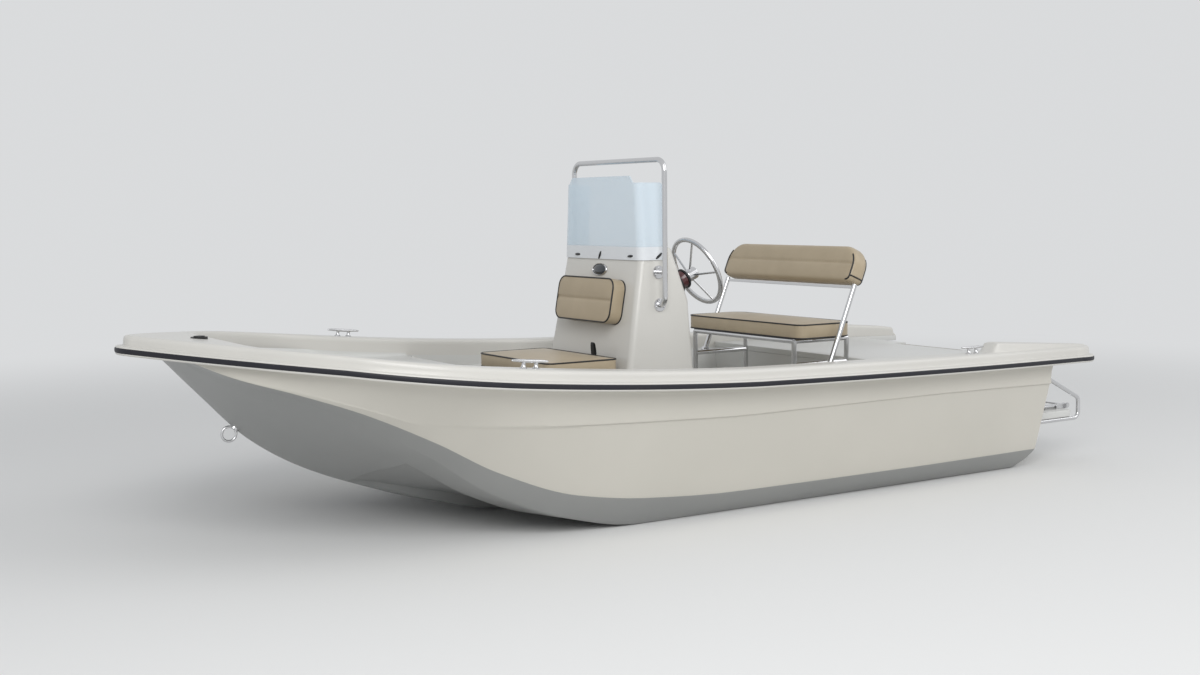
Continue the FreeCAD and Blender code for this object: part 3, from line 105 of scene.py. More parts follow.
# %% Build the floor and the lamps
FLOOR_SIZE = 120.0
FLOOR_COLOUR = (0.80, 0.80, 0.79, 1.0)
FLOOR_ROUGHNESS = 0.9
WORLD_COLOUR = (0.92, 0.94, 0.97, 1.0)
WORLD_STRENGTH = 0.56
BACKDROP_COLOUR = (0.70, 0.71, 0.72, 1.0)
FADE_FROM = 3.4
FADE_TO = 9.0
KEY_LAMP = {"name": "key_lamp", "place": (4.0, 7.2, 5.6), "size": 5.0, "power": 395.0}
FILL_LAMP = {"name": "fill_lamp", "place": (-5.5, 5.0, 5.5), "size": 6.0, "power": 150.0}
LAMP_TARGET = (0.0, 0.0, 0.5)


def add_lamp(lamp):
    """Place one square soft lamp that faces the boat."""
    data = bpy.data.lights.new(lamp["name"], "AREA")
    data.shape = "SQUARE"
    data.size = lamp["size"]
    data.energy = lamp["power"]
    piece = new_object(lamp["name"], data)
    piece.location = lamp["place"]
    aim = Vector(LAMP_TARGET) - piece.location
    piece.rotation_euler = aim.to_track_quat("-Z", "Y").to_euler()


def add_math(tree, operation, first, second):
    """One sum on two values of a tree."""
    node = tree.nodes.new("ShaderNodeMath")
    node.operation = operation
    tree.links.new(first, node.inputs[0])
    tree.links.new(second, node.inputs[1])
    return node.outputs[0]


def add_mix(tree, share, first, second, output):
    """Blend two shaders by a share and send the blend to the tree's output."""
    mix = tree.nodes.new("ShaderNodeMixShader")
    for source, socket in zip((share, first, second), mix.inputs):
        tree.links.new(source, socket)
    tree.links.new(mix.outputs[0], tree.nodes[output].inputs["Surface"])


def seen_directly(tree):
    """One for a camera, mirror or glass ray, and nothing for the light that falls on things."""
    path = tree.nodes.new("ShaderNodeLightPath")
    either = path.outputs["Is Camera Ray"]
    for name in ("Is Glossy Ray", "Is Transmission Ray"):
        either = add_math(tree, "MAXIMUM", either, path.outputs[name])
    return either


def fade_floor(paint):
    """Let the floor run into the backdrop's colour far from the boat, so no edge shows."""
    tree = paint.node_tree
    distance = tree.nodes.new("ShaderNodeVectorMath")
    distance.operation = "LENGTH"
    tree.links.new(tree.nodes.new("ShaderNodeTexCoord").outputs["Object"], distance.inputs[0])
    fade = tree.nodes.new("ShaderNodeMapRange")
    fade.interpolation_type = "SMOOTHSTEP"
    fade.inputs["From Min"].default_value = FADE_FROM
    fade.inputs["From Max"].default_value = FADE_TO
    tree.links.new(distance.outputs["Value"], fade.inputs["Value"])
    share = add_math(tree, "MULTIPLY", fade.outputs["Result"], seen_directly(tree))
    glow = tree.nodes.new("ShaderNodeEmission")
    glow.inputs["Color"].default_value = BACKDROP_COLOUR
    plain = tree.nodes["Principled BSDF"]
    add_mix(tree, share, plain.outputs[0], glow.outputs[0], "Material Output")


def build_world():
    """Even pale light all round, with the backdrop's colour where it is looked at."""
    world = bpy.data.worlds.new("studio")
    world.use_nodes = True
    tree = world.node_tree
    light = tree.nodes["Background"]
    light.inputs["Color"].default_value = WORLD_COLOUR
    light.inputs["Strength"].default_value = WORLD_STRENGTH
    backdrop = tree.nodes.new("ShaderNodeBackground")
    backdrop.inputs["Color"].default_value = BACKDROP_COLOUR
    add_mix(tree, seen_directly(tree), light.outputs[0], backdrop.outputs[0], "World Output")
    bpy.context.scene.world = world


def build_floor():
    """One large pale square under the boat."""
    half = FLOOR_SIZE / 2.0
    corners = [(-half, -half, 0), (half, -half, 0), (half, half, 0), (-half, half, 0)]
    mesh = bpy.data.meshes.new("floor")
    mesh.from_pydata(corners, [], [(0, 1, 2, 3)])
    floor = new_object("floor", mesh)
    paint = bpy.data.materials.new("floor")
    paint.use_nodes = True
    shader = paint.node_tree.nodes["Principled BSDF"]
    shader.inputs["Base Color"].default_value = FLOOR_COLOUR
    shader.inputs["Roughness"].default_value = FLOOR_ROUGHNESS
    fade_floor(paint)
    mesh.materials.append(paint)


bpy.context.scene.view_settings.view_transform = "Standard"
build_world()
build_floor()
for lamp in (KEY_LAMP, FILL_LAMP):
    add_lamp(lamp)
print("studio: floor and two lamps")

# %% [markdown]
# ## Finishes
# Every finish is a small tree of noise and bump on the piece's own coordinates, so it needs
# no picture. Plain numbers stay on the shader, and only what varies is wired in.

# %% Helpers for finishes
DRIFT_DETAIL = 4.0
DRIFT_RANGE = (0.35, 0.65)
GELCOAT = {"roughness": 0.36, "Coat_Weight": 0.22, "Coat_Roughness": 0.12}
GELCOAT_DRIFT = 1.3
FACES_UP = {"From_Min": 0.97, "From_Max": 0.995}


def new_finish(name, colour, roughness, **settings):
    """Start a finish with its plain numbers on the shader."""
    finish = bpy.data.materials.new(name)
    finish.use_nodes = True
    shader = finish.node_tree.nodes["Principled BSDF"]
    shader.inputs["Base Color"].default_value = (*colour, 1.0)
    shader.inputs["Roughness"].default_value = roughness
    for key, value in settings.items():
        shader.inputs[key.replace("_", " ")].default_value = value
    return finish


def add_node(finish, kind, **values):
    """Add one node and set its inputs by name."""
    node = finish.node_tree.nodes.new(kind)
    for key, value in values.items():
        node.inputs[key.replace("_", " ")].default_value = value
    return node


def add_texture(finish, kind, output, **values):
    """Texture on the piece's own coordinates, as one value."""
    texture = add_node(finish, kind, **values)
    place = add_node(finish, "ShaderNodeTexCoord").outputs["Object"]
    finish.node_tree.links.new(place, texture.inputs["Vector"])
    return texture.outputs[output]


def noise_height(finish, scale, detail=2.0):
    """Noise used as a height."""
    return add_texture(finish, "ShaderNodeTexNoise", "Fac", Scale=scale, Detail=detail)


def drive(finish, source, socket):
    """Let a value drive one socket of the shader."""
    shader = finish.node_tree.nodes["Principled BSDF"]
    finish.node_tree.links.new(source, shader.inputs[socket])


def add_bump(finish, height, strength, distance):
    """Turn a height into bump on the shader."""
    bump = add_node(finish, "ShaderNodeBump", Strength=strength, Distance=distance)
    finish.node_tree.links.new(height, bump.inputs["Height"])
    drive(finish, bump.outputs["Normal"], "Normal")


def vary_colour(finish, first, second, scale):
    """Let the colour drift between two close tones."""
    ramp = add_node(finish, "ShaderNodeValToRGB")
    for stop, place, colour in zip(ramp.color_ramp.elements, DRIFT_RANGE, (first, second)):
        stop.position = place
        stop.color = (*colour, 1.0)
    noise = noise_height(finish, scale, DRIFT_DETAIL)
    finish.node_tree.links.new(noise, ramp.inputs["Fac"])
    drive(finish, ramp.outputs["Color"], "Base Color")


def vary_roughness(finish, low, high, scale):
    """Let the polish drift, as handled metal and plastic do."""
    spread = add_node(finish, "ShaderNodeMapRange", To_Min=low, To_Max=high)
    noise = noise_height(finish, scale, DRIFT_DETAIL)
    finish.node_tree.links.new(noise, spread.inputs["Value"])
    drive(finish, spread.outputs["Result"], "Roughness")


def make_grained(name, colour, roughness, grain, **settings):
    """Plain finish with a fine noise as its grain: scale, strength and depth."""
    finish = new_finish(name, colour, roughness, **settings)
    scale, strength, depth = grain
    add_bump(finish, noise_height(finish, scale), strength, depth)
    return finish


def make_gelcoat(name, colour, tint):
    """Glossy gelcoat: a clear coat over a colour that drifts a little."""
    finish = make_grained(name, colour, grain=(60.0, 0.04, 0.002), **GELCOAT)
    vary_colour(finish, colour, tint, GELCOAT_DRIFT)
    return finish


def make_nonskid(name, colour, tint):
    """Gelcoat with a small pebbled grip on the faces that look up."""
    finish = make_gelcoat(name, colour, tint)
    tree = finish.node_tree
    pebbles = add_texture(finish, "ShaderNodeTexVoronoi", "Distance", Scale=150.0)
    normal = tree.nodes.new("ShaderNodeSeparateXYZ")
    tree.links.new(tree.nodes.new("ShaderNodeNewGeometry").outputs["Normal"], normal.inputs[0])
    level = add_node(finish, "ShaderNodeMapRange", **FACES_UP)
    tree.links.new(normal.outputs["Z"], level.inputs["Value"])
    height = add_math(tree, "MULTIPLY", pebbles, level.outputs["Result"])
    add_bump(finish, height, 0.35, 0.0015)
    return finish


# %% Mix the finishes
deck_gelcoat = make_gelcoat("deck_gelcoat", (0.66, 0.645, 0.605), (0.635, 0.62, 0.58))
hull_gelcoat = make_gelcoat("hull_gelcoat", (0.62, 0.595, 0.535), (0.59, 0.568, 0.508))
# grey below the chine: partly a grey bottom finish and partly painted shade, darker than the
# topsides to stand in for the shade under the hull
bottom_grey_and_painted_shade = make_gelcoat("bottom_grey_and_painted_shade", (0.315, 0.318, 0.31), (0.285, 0.29, 0.285))
deck_nonskid = make_nonskid("deck_nonskid", (0.66, 0.66, 0.64), (0.635, 0.635, 0.61))
rubber = make_grained("strip_rubber", (0.006, 0.006, 0.012), 0.5, (220.0, 0.05, 0.001))
steel = make_grained("polished_steel", (0.66, 0.66, 0.67), 0.16, (30.0, 0.05, 0.001), Metallic=1.0)
vary_roughness(steel, 0.12, 0.26, 14.0)
vinyl = new_finish("tan_vinyl", (0.45, 0.37, 0.255), 0.42, Sheen_Weight=0.08, Sheen_Roughness=0.5)
vary_colour(vinyl, (0.455, 0.373, 0.256), (0.425, 0.346, 0.235), 9.0)
leather_grain = add_texture(vinyl, "ShaderNodeTexVoronoi", "Distance", Scale=420.0)
add_bump(vinyl, leather_grain, 0.18, 0.0006)
black_vinyl = make_grained("black_vinyl", (0.013, 0.012, 0.012), 0.38, (500.0, 0.1, 0.0005))
webbing = new_finish("black_webbing", (0.012, 0.012, 0.013), 0.75)
weave = add_texture(webbing, "ShaderNodeTexWave", "Fac", Scale=220.0)
add_bump(webbing, weave, 0.35, 0.0006)
thread = make_grained("seam_thread", (0.30, 0.25, 0.175), 0.7, (900.0, 0.2, 0.0003))
dark_glass = make_grained("dark_vent_shell", (0.018, 0.024, 0.034), 0.12, (90.0, 0.05, 0.0008),
                          Coat_Weight=0.6)
black_plastic = make_grained("black_plastic", (0.012, 0.012, 0.013), 0.4, (260.0, 0.08, 0.0006))
vary_roughness(black_plastic, 0.3, 0.48, 40.0)
red_plastic = make_grained("dark_red_plastic", (0.085, 0.016, 0.018), 0.3, (200.0, 0.06, 0.0006),
                           Coat_Weight=0.5)
acrylic = make_grained("clear_acrylic", (0.76, 0.87, 0.95), 0.05, (5.0, 0.05, 0.002), Alpha=0.55)
vary_roughness(acrylic, 0.03, 0.12, 6.0)
white_acrylic = new_finish("white_acrylic", (0.80, 0.825, 0.85), 0.12)
vary_roughness(white_acrylic, 0.08, 0.2, 8.0)
vary_colour(white_acrylic, (0.81, 0.835, 0.86), (0.775, 0.80, 0.825), 5.0)

SLOT_FINISH = {"hull_gelcoat": hull_gelcoat, "deck_gelcoat": deck_gelcoat, "strip_rubber": rubber,
               "clear_acrylic": acrylic, "stainless": steel, "vinyl": vinyl,
               "black_plastic": black_plastic}
for part in frame["record"]["subparts"]:
    mesh = nodes[part["node"]].data
    mesh.materials.clear()
    mesh.materials.append(SLOT_FINISH[part["material_slot"]])
print("finishes:", len(SLOT_FINISH))

# %% [markdown]
# ## Sheer line and gunwale plan
# Everything on a boat hangs on two curves: the sheer line seen from the side, and the
# gunwale's edge seen from above. Both are a few lines and arcs, so they are sampled here
# once, and the hull, the gunwale and the rubbing strip all follow the same points.

# %% Draw the sheer line and the plan
LENGTH = 4.850
HALF_BEAM = 1.000
MIDDLE = LENGTH / 2.0
SHEER_POINTS = ((0.0, 0.548), (0.499, 0.603), (0.7216, 0.673), (0.8680, 0.752), (1.0, 0.820))
PLAN_POINTS = ((0.0, 0.740), (0.0124, 0.822), (0.0392, 0.860), (0.2165, 0.955), (0.4990, 1.000),
               (0.7216, 1.000), (0.8000, 0.938), (0.8680, 0.750), (0.9433, 0.413), (0.9942, 0.080))
WING_INNER_Y = HALF_BEAM - 0.310
CAP_RISE = 0.062
UNDER_CAP = 0.018


def circle_through(a, b, c):
    """Centre and radius of the circle through three points of a plane."""
    a, b, c = (np.array(p, float) for p in (a, b, c))
    lines = 2.0 * np.array([b - a, c - a])
    centre = np.linalg.solve(lines, [b @ b - a @ a, c @ c - a @ a])
    return centre, np.linalg.norm(a - centre)


def arc_points(a, b, c, step):
    """Points from a to c along the arc through b, about one step apart."""
    centre, radius = circle_through(a, b, c)
    angles = [math.atan2(*(np.array(p) - centre)[::-1]) for p in (a, b, c)]
    for i in (1, 2):
        while angles[i] - angles[i - 1] > math.pi:
            angles[i] -= 2.0 * math.pi
        while angles[i] - angles[i - 1] < -math.pi:
            angles[i] += 2.0 * math.pi
    count = max(2, int(abs(angles[2] - angles[0]) * radius / step))
    turn = np.linspace(angles[0], angles[2], count + 1)
    return centre + radius * np.column_stack([np.cos(turn), np.sin(turn)])


def line_points(a, b, step):
    """Points from a to b, about one step apart."""
    count = max(1, int(math.dist(a, b) / step))
    return np.array(a) + np.linspace(0, 1, count + 1)[:, None] * (np.array(b) - np.array(a))


def joined(*runs):
    """One row of points from several runs, without the doubled ends."""
    return np.vstack([runs[0]] + [run[1:] for run in runs[1:]])


SHEER_STEP = 0.02
sheer_rows = [(share * LENGTH, z) for share, z in SHEER_POINTS]
SHEER_LINE = joined(line_points(*sheer_rows[0:2], SHEER_STEP),
                    arc_points(*sheer_rows[1:4], SHEER_STEP),
                    line_points(*sheer_rows[3:5], SHEER_STEP))


def sheer_z(x):
    """Height of the rubbing strip at a place measured from the stern edge."""
    return np.interp(x, SHEER_LINE[:, 0], SHEER_LINE[:, 1])


plan_rows = [(share * LENGTH, share_y * HALF_BEAM) for share, share_y in PLAN_POINTS]
PLAN_STEP = 0.018
PORT_EDGE = joined(arc_points(*plan_rows[0:3], PLAN_STEP), arc_points(*plan_rows[2:5], PLAN_STEP),
                   line_points(*plan_rows[4:6], PLAN_STEP),
                   arc_points(*plan_rows[5:8], PLAN_STEP), arc_points(*plan_rows[7:10], PLAN_STEP))
FLIP = np.array([1.0, -1.0])
NOSE = arc_points(plan_rows[-1], (LENGTH, 0.0), plan_rows[-1] * FLIP, PLAN_STEP / 2)
print("plan:", len(PORT_EDGE), "points a side, nose", len(NOSE))

# %% [markdown]
# ## Hull
# The real hull is one fibreglass moulding: flat runners with a tunnel inside each, a bevel up
# to the chine, topsides with a fine knuckle, and a V panel under the bow. A box with modifiers
# would lose the way those lines run together at the stem. So the hull is written as a table
# of stations, the way a boatbuilder lofts it, and a smooth curve runs through each column.

# %% Table of stations
# share of the length, keel z, then y and z of runner, chine, knuckle and sheer
HULL_COLUMNS = ("share", "keel_z", "runner_y", "runner_z", "chine_y", "chine_z",
                "knuckle_y", "knuckle_z", "sheer_y", "sheer_z")
HULL_STATIONS = np.array((
    (0.0619, 0.0, 0.700, 0.0, 0.772, 0.100, 0.822, 0.438, 0.831, 0.560),
    (0.2887, 0.0, 0.700, 0.0, 0.800, 0.102, 0.897, 0.462, 0.922, 0.590),
    (0.4990, 0.0, 0.700, 0.0, 0.800, 0.107, 0.910, 0.462, 0.945, 0.610),
    (0.5876, 0.0, 0.700, 0.0, 0.800, 0.130, 0.906, 0.474, 0.945, 0.630),
    (0.6639, 0.008, 0.700, 0.070, 0.777, 0.180, 0.895, 0.487, 0.945, 0.650),
    (0.7320, 0.078, 0.630, 0.203, 0.713, 0.300, 0.845, 0.500, 0.938, 0.685),
    (0.7835, 0.158, 0.600, 0.372, 0.680, 0.436, 0.735, 0.510, 0.892, 0.712),
    (0.8474, 0.283, 0.548, 0.540, 0.640, 0.580, 0.662, 0.602, 0.755, 0.745),
    (0.8928, 0.420, 0.470, 0.640, 0.550, 0.660, 0.556, 0.674, 0.570, 0.764),
    (0.9330, 0.614, 0.330, 0.712, 0.400, 0.724, 0.400, 0.732, 0.396, 0.782),
    (0.9670, 0.792, 0.120, 0.806, 0.150, 0.810, 0.150, 0.813, 0.150, 0.830)))
STATION_X = HULL_STATIONS[:, 0] * LENGTH
print("stations:", len(STATION_X), "from", round(STATION_X[0], 2), "to", round(STATION_X[-1], 2))

# %% Fair the columns


def fair_slopes(places, values):
    """Slope at each station: a weighted mean of its neighbours, or level at a turn."""
    steps, rises = np.diff(places), np.diff(values) / np.diff(places)
    slopes = np.concatenate([[rises[0]], np.zeros(len(places) - 2), [rises[-1]]])
    for i in range(1, len(places) - 1):
        if rises[i - 1] * rises[i] > 0.0:
            near, far = 2 * steps[i] + steps[i - 1], steps[i] + 2 * steps[i - 1]
            slopes[i] = (near + far) / (near / rises[i - 1] + far / rises[i])
    return slopes


STATION_SLOPES = [fair_slopes(STATION_X, HULL_STATIONS[:, i]) for i in range(len(HULL_COLUMNS))]


def hull_value(name, x):
    """One column of the table, faired smoothly between the stations."""
    column = HULL_COLUMNS.index(name)
    x = np.clip(x, STATION_X[0], STATION_X[-1])
    row = np.clip(np.searchsorted(STATION_X, x, side="right") - 1, 0, len(STATION_X) - 2)
    step = STATION_X[row + 1] - STATION_X[row]
    t = (x - STATION_X[row]) / step
    low, high = HULL_STATIONS[row, column], HULL_STATIONS[row + 1, column]
    low_slope, high_slope = STATION_SLOPES[column][row], STATION_SLOPES[column][row + 1]
    return ((2 * t ** 3 - 3 * t ** 2 + 1) * low + (3 * t ** 2 - 2 * t ** 3) * high
            + step * ((t ** 3 - 2 * t ** 2 + t) * low_slope + (t ** 3 - t ** 2) * high_slope))


print("keel at the bow:", round(float(hull_value("keel_z", np.array(4.5))), 3))

# %% One cross section
KEEL_ROUND = 0.018
TUNNEL_INNER_Y = 0.090
TUNNEL_OUTER_Y = 0.450
TUNNEL_WALL = 0.012
TUNNEL_DEPTH = 0.045
TUNNEL_EDGE = 0.011
CREASE_X = 3.908
CREASE_SLANT = 0.176
SLANT_REACH = 0.5
TUNNEL_FULL_X = 3.350
TUNNEL_OPENS = 0.40
FULL_RUNNER_Y = 0.60
KNUCKLE_STEP = 0.009
KNUCKLE_FADE = (0.711, 0.835)
RUNNER_ROUND = 0.009
CHINE_ROUND = 0.012
CENTRE_Y = 0.006
SIDE_HOLLOW = 0.010
HULL_SIDE_COLUMN = 14
CHINE_COLUMN = 19


def corner_curve(before, corner, after, reach):
    """Three points that round a corner of the section."""
    ends = []
    for other in (before, after):
        run = other - corner
        length = np.maximum(np.linalg.norm(run, axis=-1, keepdims=True), 1e-6)
        ends.append(corner + run / length * np.minimum(reach, length * 0.45))
    return [ends[0], (ends[0] + 2.0 * corner + ends[1]) / 4.0, ends[1]]


def hull_section(x):
    """Port half of the section at places x: keel to sheer, one array of y and z a column."""
    def point(y, z):
        return np.stack([y + 0.0 * x, z + 0.0 * x], axis=-1)

    keel_z = hull_value("keel_z", x)
    runner = point(hull_value("runner_y", x), hull_value("runner_z", x))
    chine = point(hull_value("chine_y", x), hull_value("chine_z", x))
    knuckle = point(hull_value("knuckle_y", x), hull_value("knuckle_z", x))
    sheer = point(hull_value("sheer_y", x), hull_value("sheer_z", x))
    slope = (runner[..., 1] - keel_z) / np.maximum(runner[..., 0], 1e-3)

    def bottom(y, lift=0.0):
        return point(y, keel_z + slope * (np.sqrt(y ** 2 + KEEL_ROUND ** 2) - KEEL_ROUND) + lift)

    scale = np.minimum(1.0, runner[..., 0] / FULL_RUNNER_Y)
    opening = np.clip((CREASE_X - x) / TUNNEL_OPENS, 0.0, 1.0)
    inner_y = CENTRE_Y + (TUNNEL_INNER_Y - CENTRE_Y) * opening * (2.0 - opening)
    outer_y = TUNNEL_OUTER_Y * scale
    columns = [bottom(0.0 * x), bottom(inner_y * 0.5), bottom(inner_y * 0.94), bottom(inner_y)]
    for share in (0.0, 0.12, 0.3, 0.5, 0.7, 0.88, 1.0):
        y = inner_y + TUNNEL_WALL * scale + share * (outer_y - inner_y - 2.0 * TUNNEL_WALL * scale)
        edge_x = CREASE_X - CREASE_SLANT * np.minimum(y, SLANT_REACH)
        depth = TUNNEL_DEPTH * np.clip((edge_x - x) / (CREASE_X - TUNNEL_FULL_X), 0.0, 1.0)
        depth = depth + TUNNEL_EDGE * np.clip((edge_x - x) / 0.006, 0.0, 1.0)
        columns.append(bottom(y, np.minimum(depth, TUNNEL_DEPTH)))
    columns += [bottom(outer_y), bottom(outer_y + 0.008), bottom((outer_y + runner[..., 0]) / 2.0)]
    columns += corner_curve(columns[-1], runner, chine, RUNNER_ROUND)
    columns.append((runner + chine) / 2.0)
    fade = np.clip((KNUCKLE_FADE[1] - x / LENGTH) / (KNUCKLE_FADE[1] - KNUCKLE_FADE[0]), 0.0, 1.0)
    step = KNUCKLE_STEP * fade
    under = knuckle - np.stack([step, 0.002 + step / 2.0], axis=-1)
    columns += corner_curve(columns[-1], chine, under, CHINE_ROUND)
    side = [columns[-1] + share * (under - columns[-1]) for share in (0.2, 0.4, 0.6, 0.8, 0.96)]
    columns += side + [under, knuckle, knuckle + 0.05 * (sheer - knuckle)]
    for share in (0.25, 0.5, 0.75, 1.0):
        hollow = SIDE_HOLLOW * math.sin(math.pi * share) * fade
        columns.append(knuckle + share * (sheer - knuckle) - np.stack([hollow, 0.0 * x], axis=-1))
    return columns


print("section columns:", CHINE_COLUMN, "of grey bottom in", len(hull_section(np.array(2.0))))

# %% Skin the hull
TRANSOM_TOP = (0.381, 0.533)
TRANSOM_LEAN = math.tan(math.radians(9.0))
HEEL_RADIUS = 0.120
SHELL = 0.006
# rows: shares of the way from the transom forward, then places along the boat, close together
# where the bow curves and at the crease
STERN_ROWS = np.linspace(0.0, 1.0, 5)[:-1] ** 1.4 * 0.62
MIDDLE_ROWS = np.linspace(1.2, 2.9, 14)
BOW_ROWS = np.concatenate([np.arange(2.97, 3.88, 0.035), [3.893, 3.902, 3.908, 3.914, 3.925],
                           np.arange(3.95, STATION_X[-1] - 0.01, 0.022), [STATION_X[-1]]])
# the crease's slant: where it begins and ends, where its reach is read, the columns it fades over
SLANT_FROM, SLANT_TO, SLANT_AT = 3.1, 4.45, 3.85
SLANT_COLUMNS = 8.0
# the transom's place in each column: a first guess, and how often it is corrected
STERN_GUESS_X, STERN_ROUNDS = 0.45, 30


def stern_x(z):
    """Place of the transom at a height, with the round heel at its foot."""
    plane = TRANSOM_TOP[0] + TRANSOM_LEAN * (TRANSOM_TOP[1] - z)
    half_turn = (math.pi / 2.0 + math.atan(TRANSOM_LEAN)) / 2.0
    reach = HEEL_RADIUS / math.tan(half_turn)
    centre_x = TRANSOM_TOP[0] + TRANSOM_LEAN * TRANSOM_TOP[1] + reach
    top_z = reach * math.cos(math.atan(TRANSOM_LEAN))
    low = np.clip(z, 0.0, HEEL_RADIUS)
    arc = centre_x - np.sqrt(np.maximum(HEEL_RADIUS ** 2 - (HEEL_RADIUS - low) ** 2, 0.0))
    return np.where(z < top_z, arc, plane)


def hull_grid():
    """Points of the port half, an array of rows by columns by x, y and z."""
    onward = np.concatenate([MIDDLE_ROWS, BOW_ROWS])
    slant = np.interp(onward, [SLANT_FROM, CREASE_X, SLANT_TO], [0.0, CREASE_SLANT, 0.0])
    at_crease = hull_section(np.array(SLANT_AT))
    grid = np.zeros((len(STERN_ROWS) + len(onward), len(at_crease), 3))
    for c in range(len(at_crease)):
        start = np.array(STERN_GUESS_X)
        for _ in range(STERN_ROUNDS):
            start = stern_x(hull_section(start)[c][1])
        reach_y = min(float(at_crease[c][0]), SLANT_REACH)
        beyond = max(0, c - HULL_SIDE_COLUMN + 1)
        ease = max(0.0, 1.0 - beyond / SLANT_COLUMNS)
        x = np.concatenate([start + STERN_ROWS * (onward[0] - start),
                            onward - slant * reach_y * ease])
        grid[:, c, 0] = x
        grid[:, c, 1:] = hull_section(x)[c]
    return grid


hull_half = hull_grid()
print("hull grid:", hull_half.shape[0], "rows,", hull_half.shape[1], "columns")

# %% Make the hull object


def clean_mesh(mesh, merge=0.0):
    """Join points that lie closer than a distance and turn every face outward."""
    shell = bmesh.new()
    shell.from_mesh(mesh)
    if merge:
        bmesh.ops.remove_doubles(shell, verts=shell.verts, dist=merge)
    bmesh.ops.recalc_face_normals(shell, faces=shell.faces)
    shell.to_mesh(mesh)
    shell.free()


def add_piece(name, body, points, faces, finish, smooth_angle=None):
    """Mesh object from points and faces, riding on one body."""
    mesh = bpy.data.meshes.new(name)
    corners = [tuple(map(float, p)) for p in points]
    mesh.from_pydata(corners, [], [tuple(map(int, f)) for f in faces])
    mesh.validate()
    mesh.materials.append(finish)
    clean_mesh(mesh)
    piece = new_object(name, mesh)
    if smooth_angle is not None:
        shade_smooth(piece, smooth_angle)
    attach(piece, body)
    return piece


def shade_smooth(piece, angle):
    """Smooth shading with sharp edges above an angle in degrees."""
    piece.data.polygons.foreach_set("use_smooth", [True] * len(piece.data.polygons))
    piece.data.set_sharp_from_angle(angle=math.radians(angle))


def apply_modifiers(piece):
    """Turn the piece with its modifiers into a plain mesh."""
    evaluated = piece.evaluated_get(bpy.context.evaluated_depsgraph_get())
    mesh = bpy.data.meshes.new_from_object(evaluated)
    piece.modifiers.clear()
    old = piece.data
    piece.data = mesh
    mesh.name = piece.name
    bpy.data.meshes.remove(old)


def grid_faces(rows, columns, start=0):
    """Faces of a grid of points kept row by row."""
    return [(start + r * columns + c, start + r * columns + c + 1,
             start + (r + 1) * columns + c + 1, start + (r + 1) * columns + c)
            for r in range(rows - 1) for c in range(columns - 1)]


def ring_faces(rings, count, start=0):
    """Faces between closed rings of points kept one after another."""
    return [(start + k * count + i, start + k * count + (i + 1) % count,
             start + (k + 1) * count + (i + 1) % count, start + (k + 1) * count + i)
            for k in range(rings - 1) for i in range(count)]


def end_faces(rings, count):
    """Two faces that close the first and the last of those rings."""
    return [tuple(reversed(range(count))), tuple((rings - 1) * count + i for i in range(count))]


def thicken(piece, thickness):
    """Give a sheet its wall, inward from its face, and keep the result in its mesh."""
    wall = piece.modifiers.new("wall", "SOLIDIFY")
    wall.thickness = thickness
    wall.offset = -1.0
    apply_modifiers(piece)


def make_hull():
    """Hull shell with its transom: both halves, a wall inward, and below the chine a grey that is
    partly bottom finish and partly painted shade.
    """
    rows, columns = hull_half.shape[:2]
    points = [tuple(p) for p in hull_half.reshape(-1, 3)]
    faces = grid_faces(rows, columns)
    foot = hull_half[0, :HULL_SIDE_COLUMN + 1]
    side = hull_half[0, HULL_SIDE_COLUMN:]
    top_z = side[-1, 2]
    faces += grid_faces(len(foot), len(side), len(points))
    for _, foot_y, foot_z in foot:
        share_y = foot_y / foot[-1, 1]
        for i, (_, side_y, side_z) in enumerate(side):
            z = foot_z + side_z * (top_z - foot_z) / top_z if i else foot_z
            points.append((float(stern_x(np.array(z))), share_y * side_y, z))
    last = (rows - 1) * columns
    faces.append(tuple(range(last, last + columns)))
    count = len(points)
    points += [(x, -y, z) for x, y, z in points]
    faces += [tuple(count + i for i in reversed(face)) for face in faces]
    points = [(x - MIDDLE, y, z) for x, y, z in points]
    hull = add_piece("hull_shell", "boat", points, faces, hull_gelcoat)
    clean_mesh(hull.data, 0.0002)
    # the grey below the chine carries painted shade as well as the bottom's own grey
    hull.data.materials.append(bottom_grey_and_painted_shade)
    paint_bottom_grey_and_shade(hull)
    thicken(hull, SHELL)
    shade_smooth(hull, 32.0)
    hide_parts("hull")
    return hull


def paint_bottom_grey_and_shade(hull):
    """Give the grey bottom finish, darkened with painted shade, to every face below the chine line.
    """
    line_x = hull_half[:, CHINE_COLUMN, 0] - MIDDLE
    line_z = hull_half[:, CHINE_COLUMN, 2]
    for face in hull.data.polygons:
        limit = np.interp(face.center.x, line_x, line_z)
        face.material_index = int(face.center.z < limit)


hull = make_hull()
print("hull:", len(hull.data.vertices), "points,", len(hull.data.polygons), "faces")

# %% [markdown]
# ## Gunwale
# The gunwale moulding caps the hull: a rounded lip outside, a step up to a flat top, and a
# rounded edge down into the cockpit. Its outside is one profile carried round the plan, so
# it is made as rings, each a little further in and higher than the last. The flat top between
# the rings and the cockpit's edge is filled from above.

# %% Plan of the cockpit's edge
WELL_AFT_X = 0.268 * LENGTH
WELL_FRONT_X = 0.6598 * LENGTH
WELL_TOP_Y = (HALF_BEAM - 0.188, HALF_BEAM - 0.142, HALF_BEAM - 0.150)
BOW_HALF, BOW_FRONT_X, BOW_FRONT_HALF = HALF_BEAM - 0.150, 0.9134 * LENGTH, 0.360
BOW_SHOULDER_X = 0.7423 * LENGTH
BOW_ELBOW = (BOW_FRONT_X - 0.250, BOW_HALF * 0.800)
BOW_CORNER = 0.070
DECK_EDGE_X = -0.060


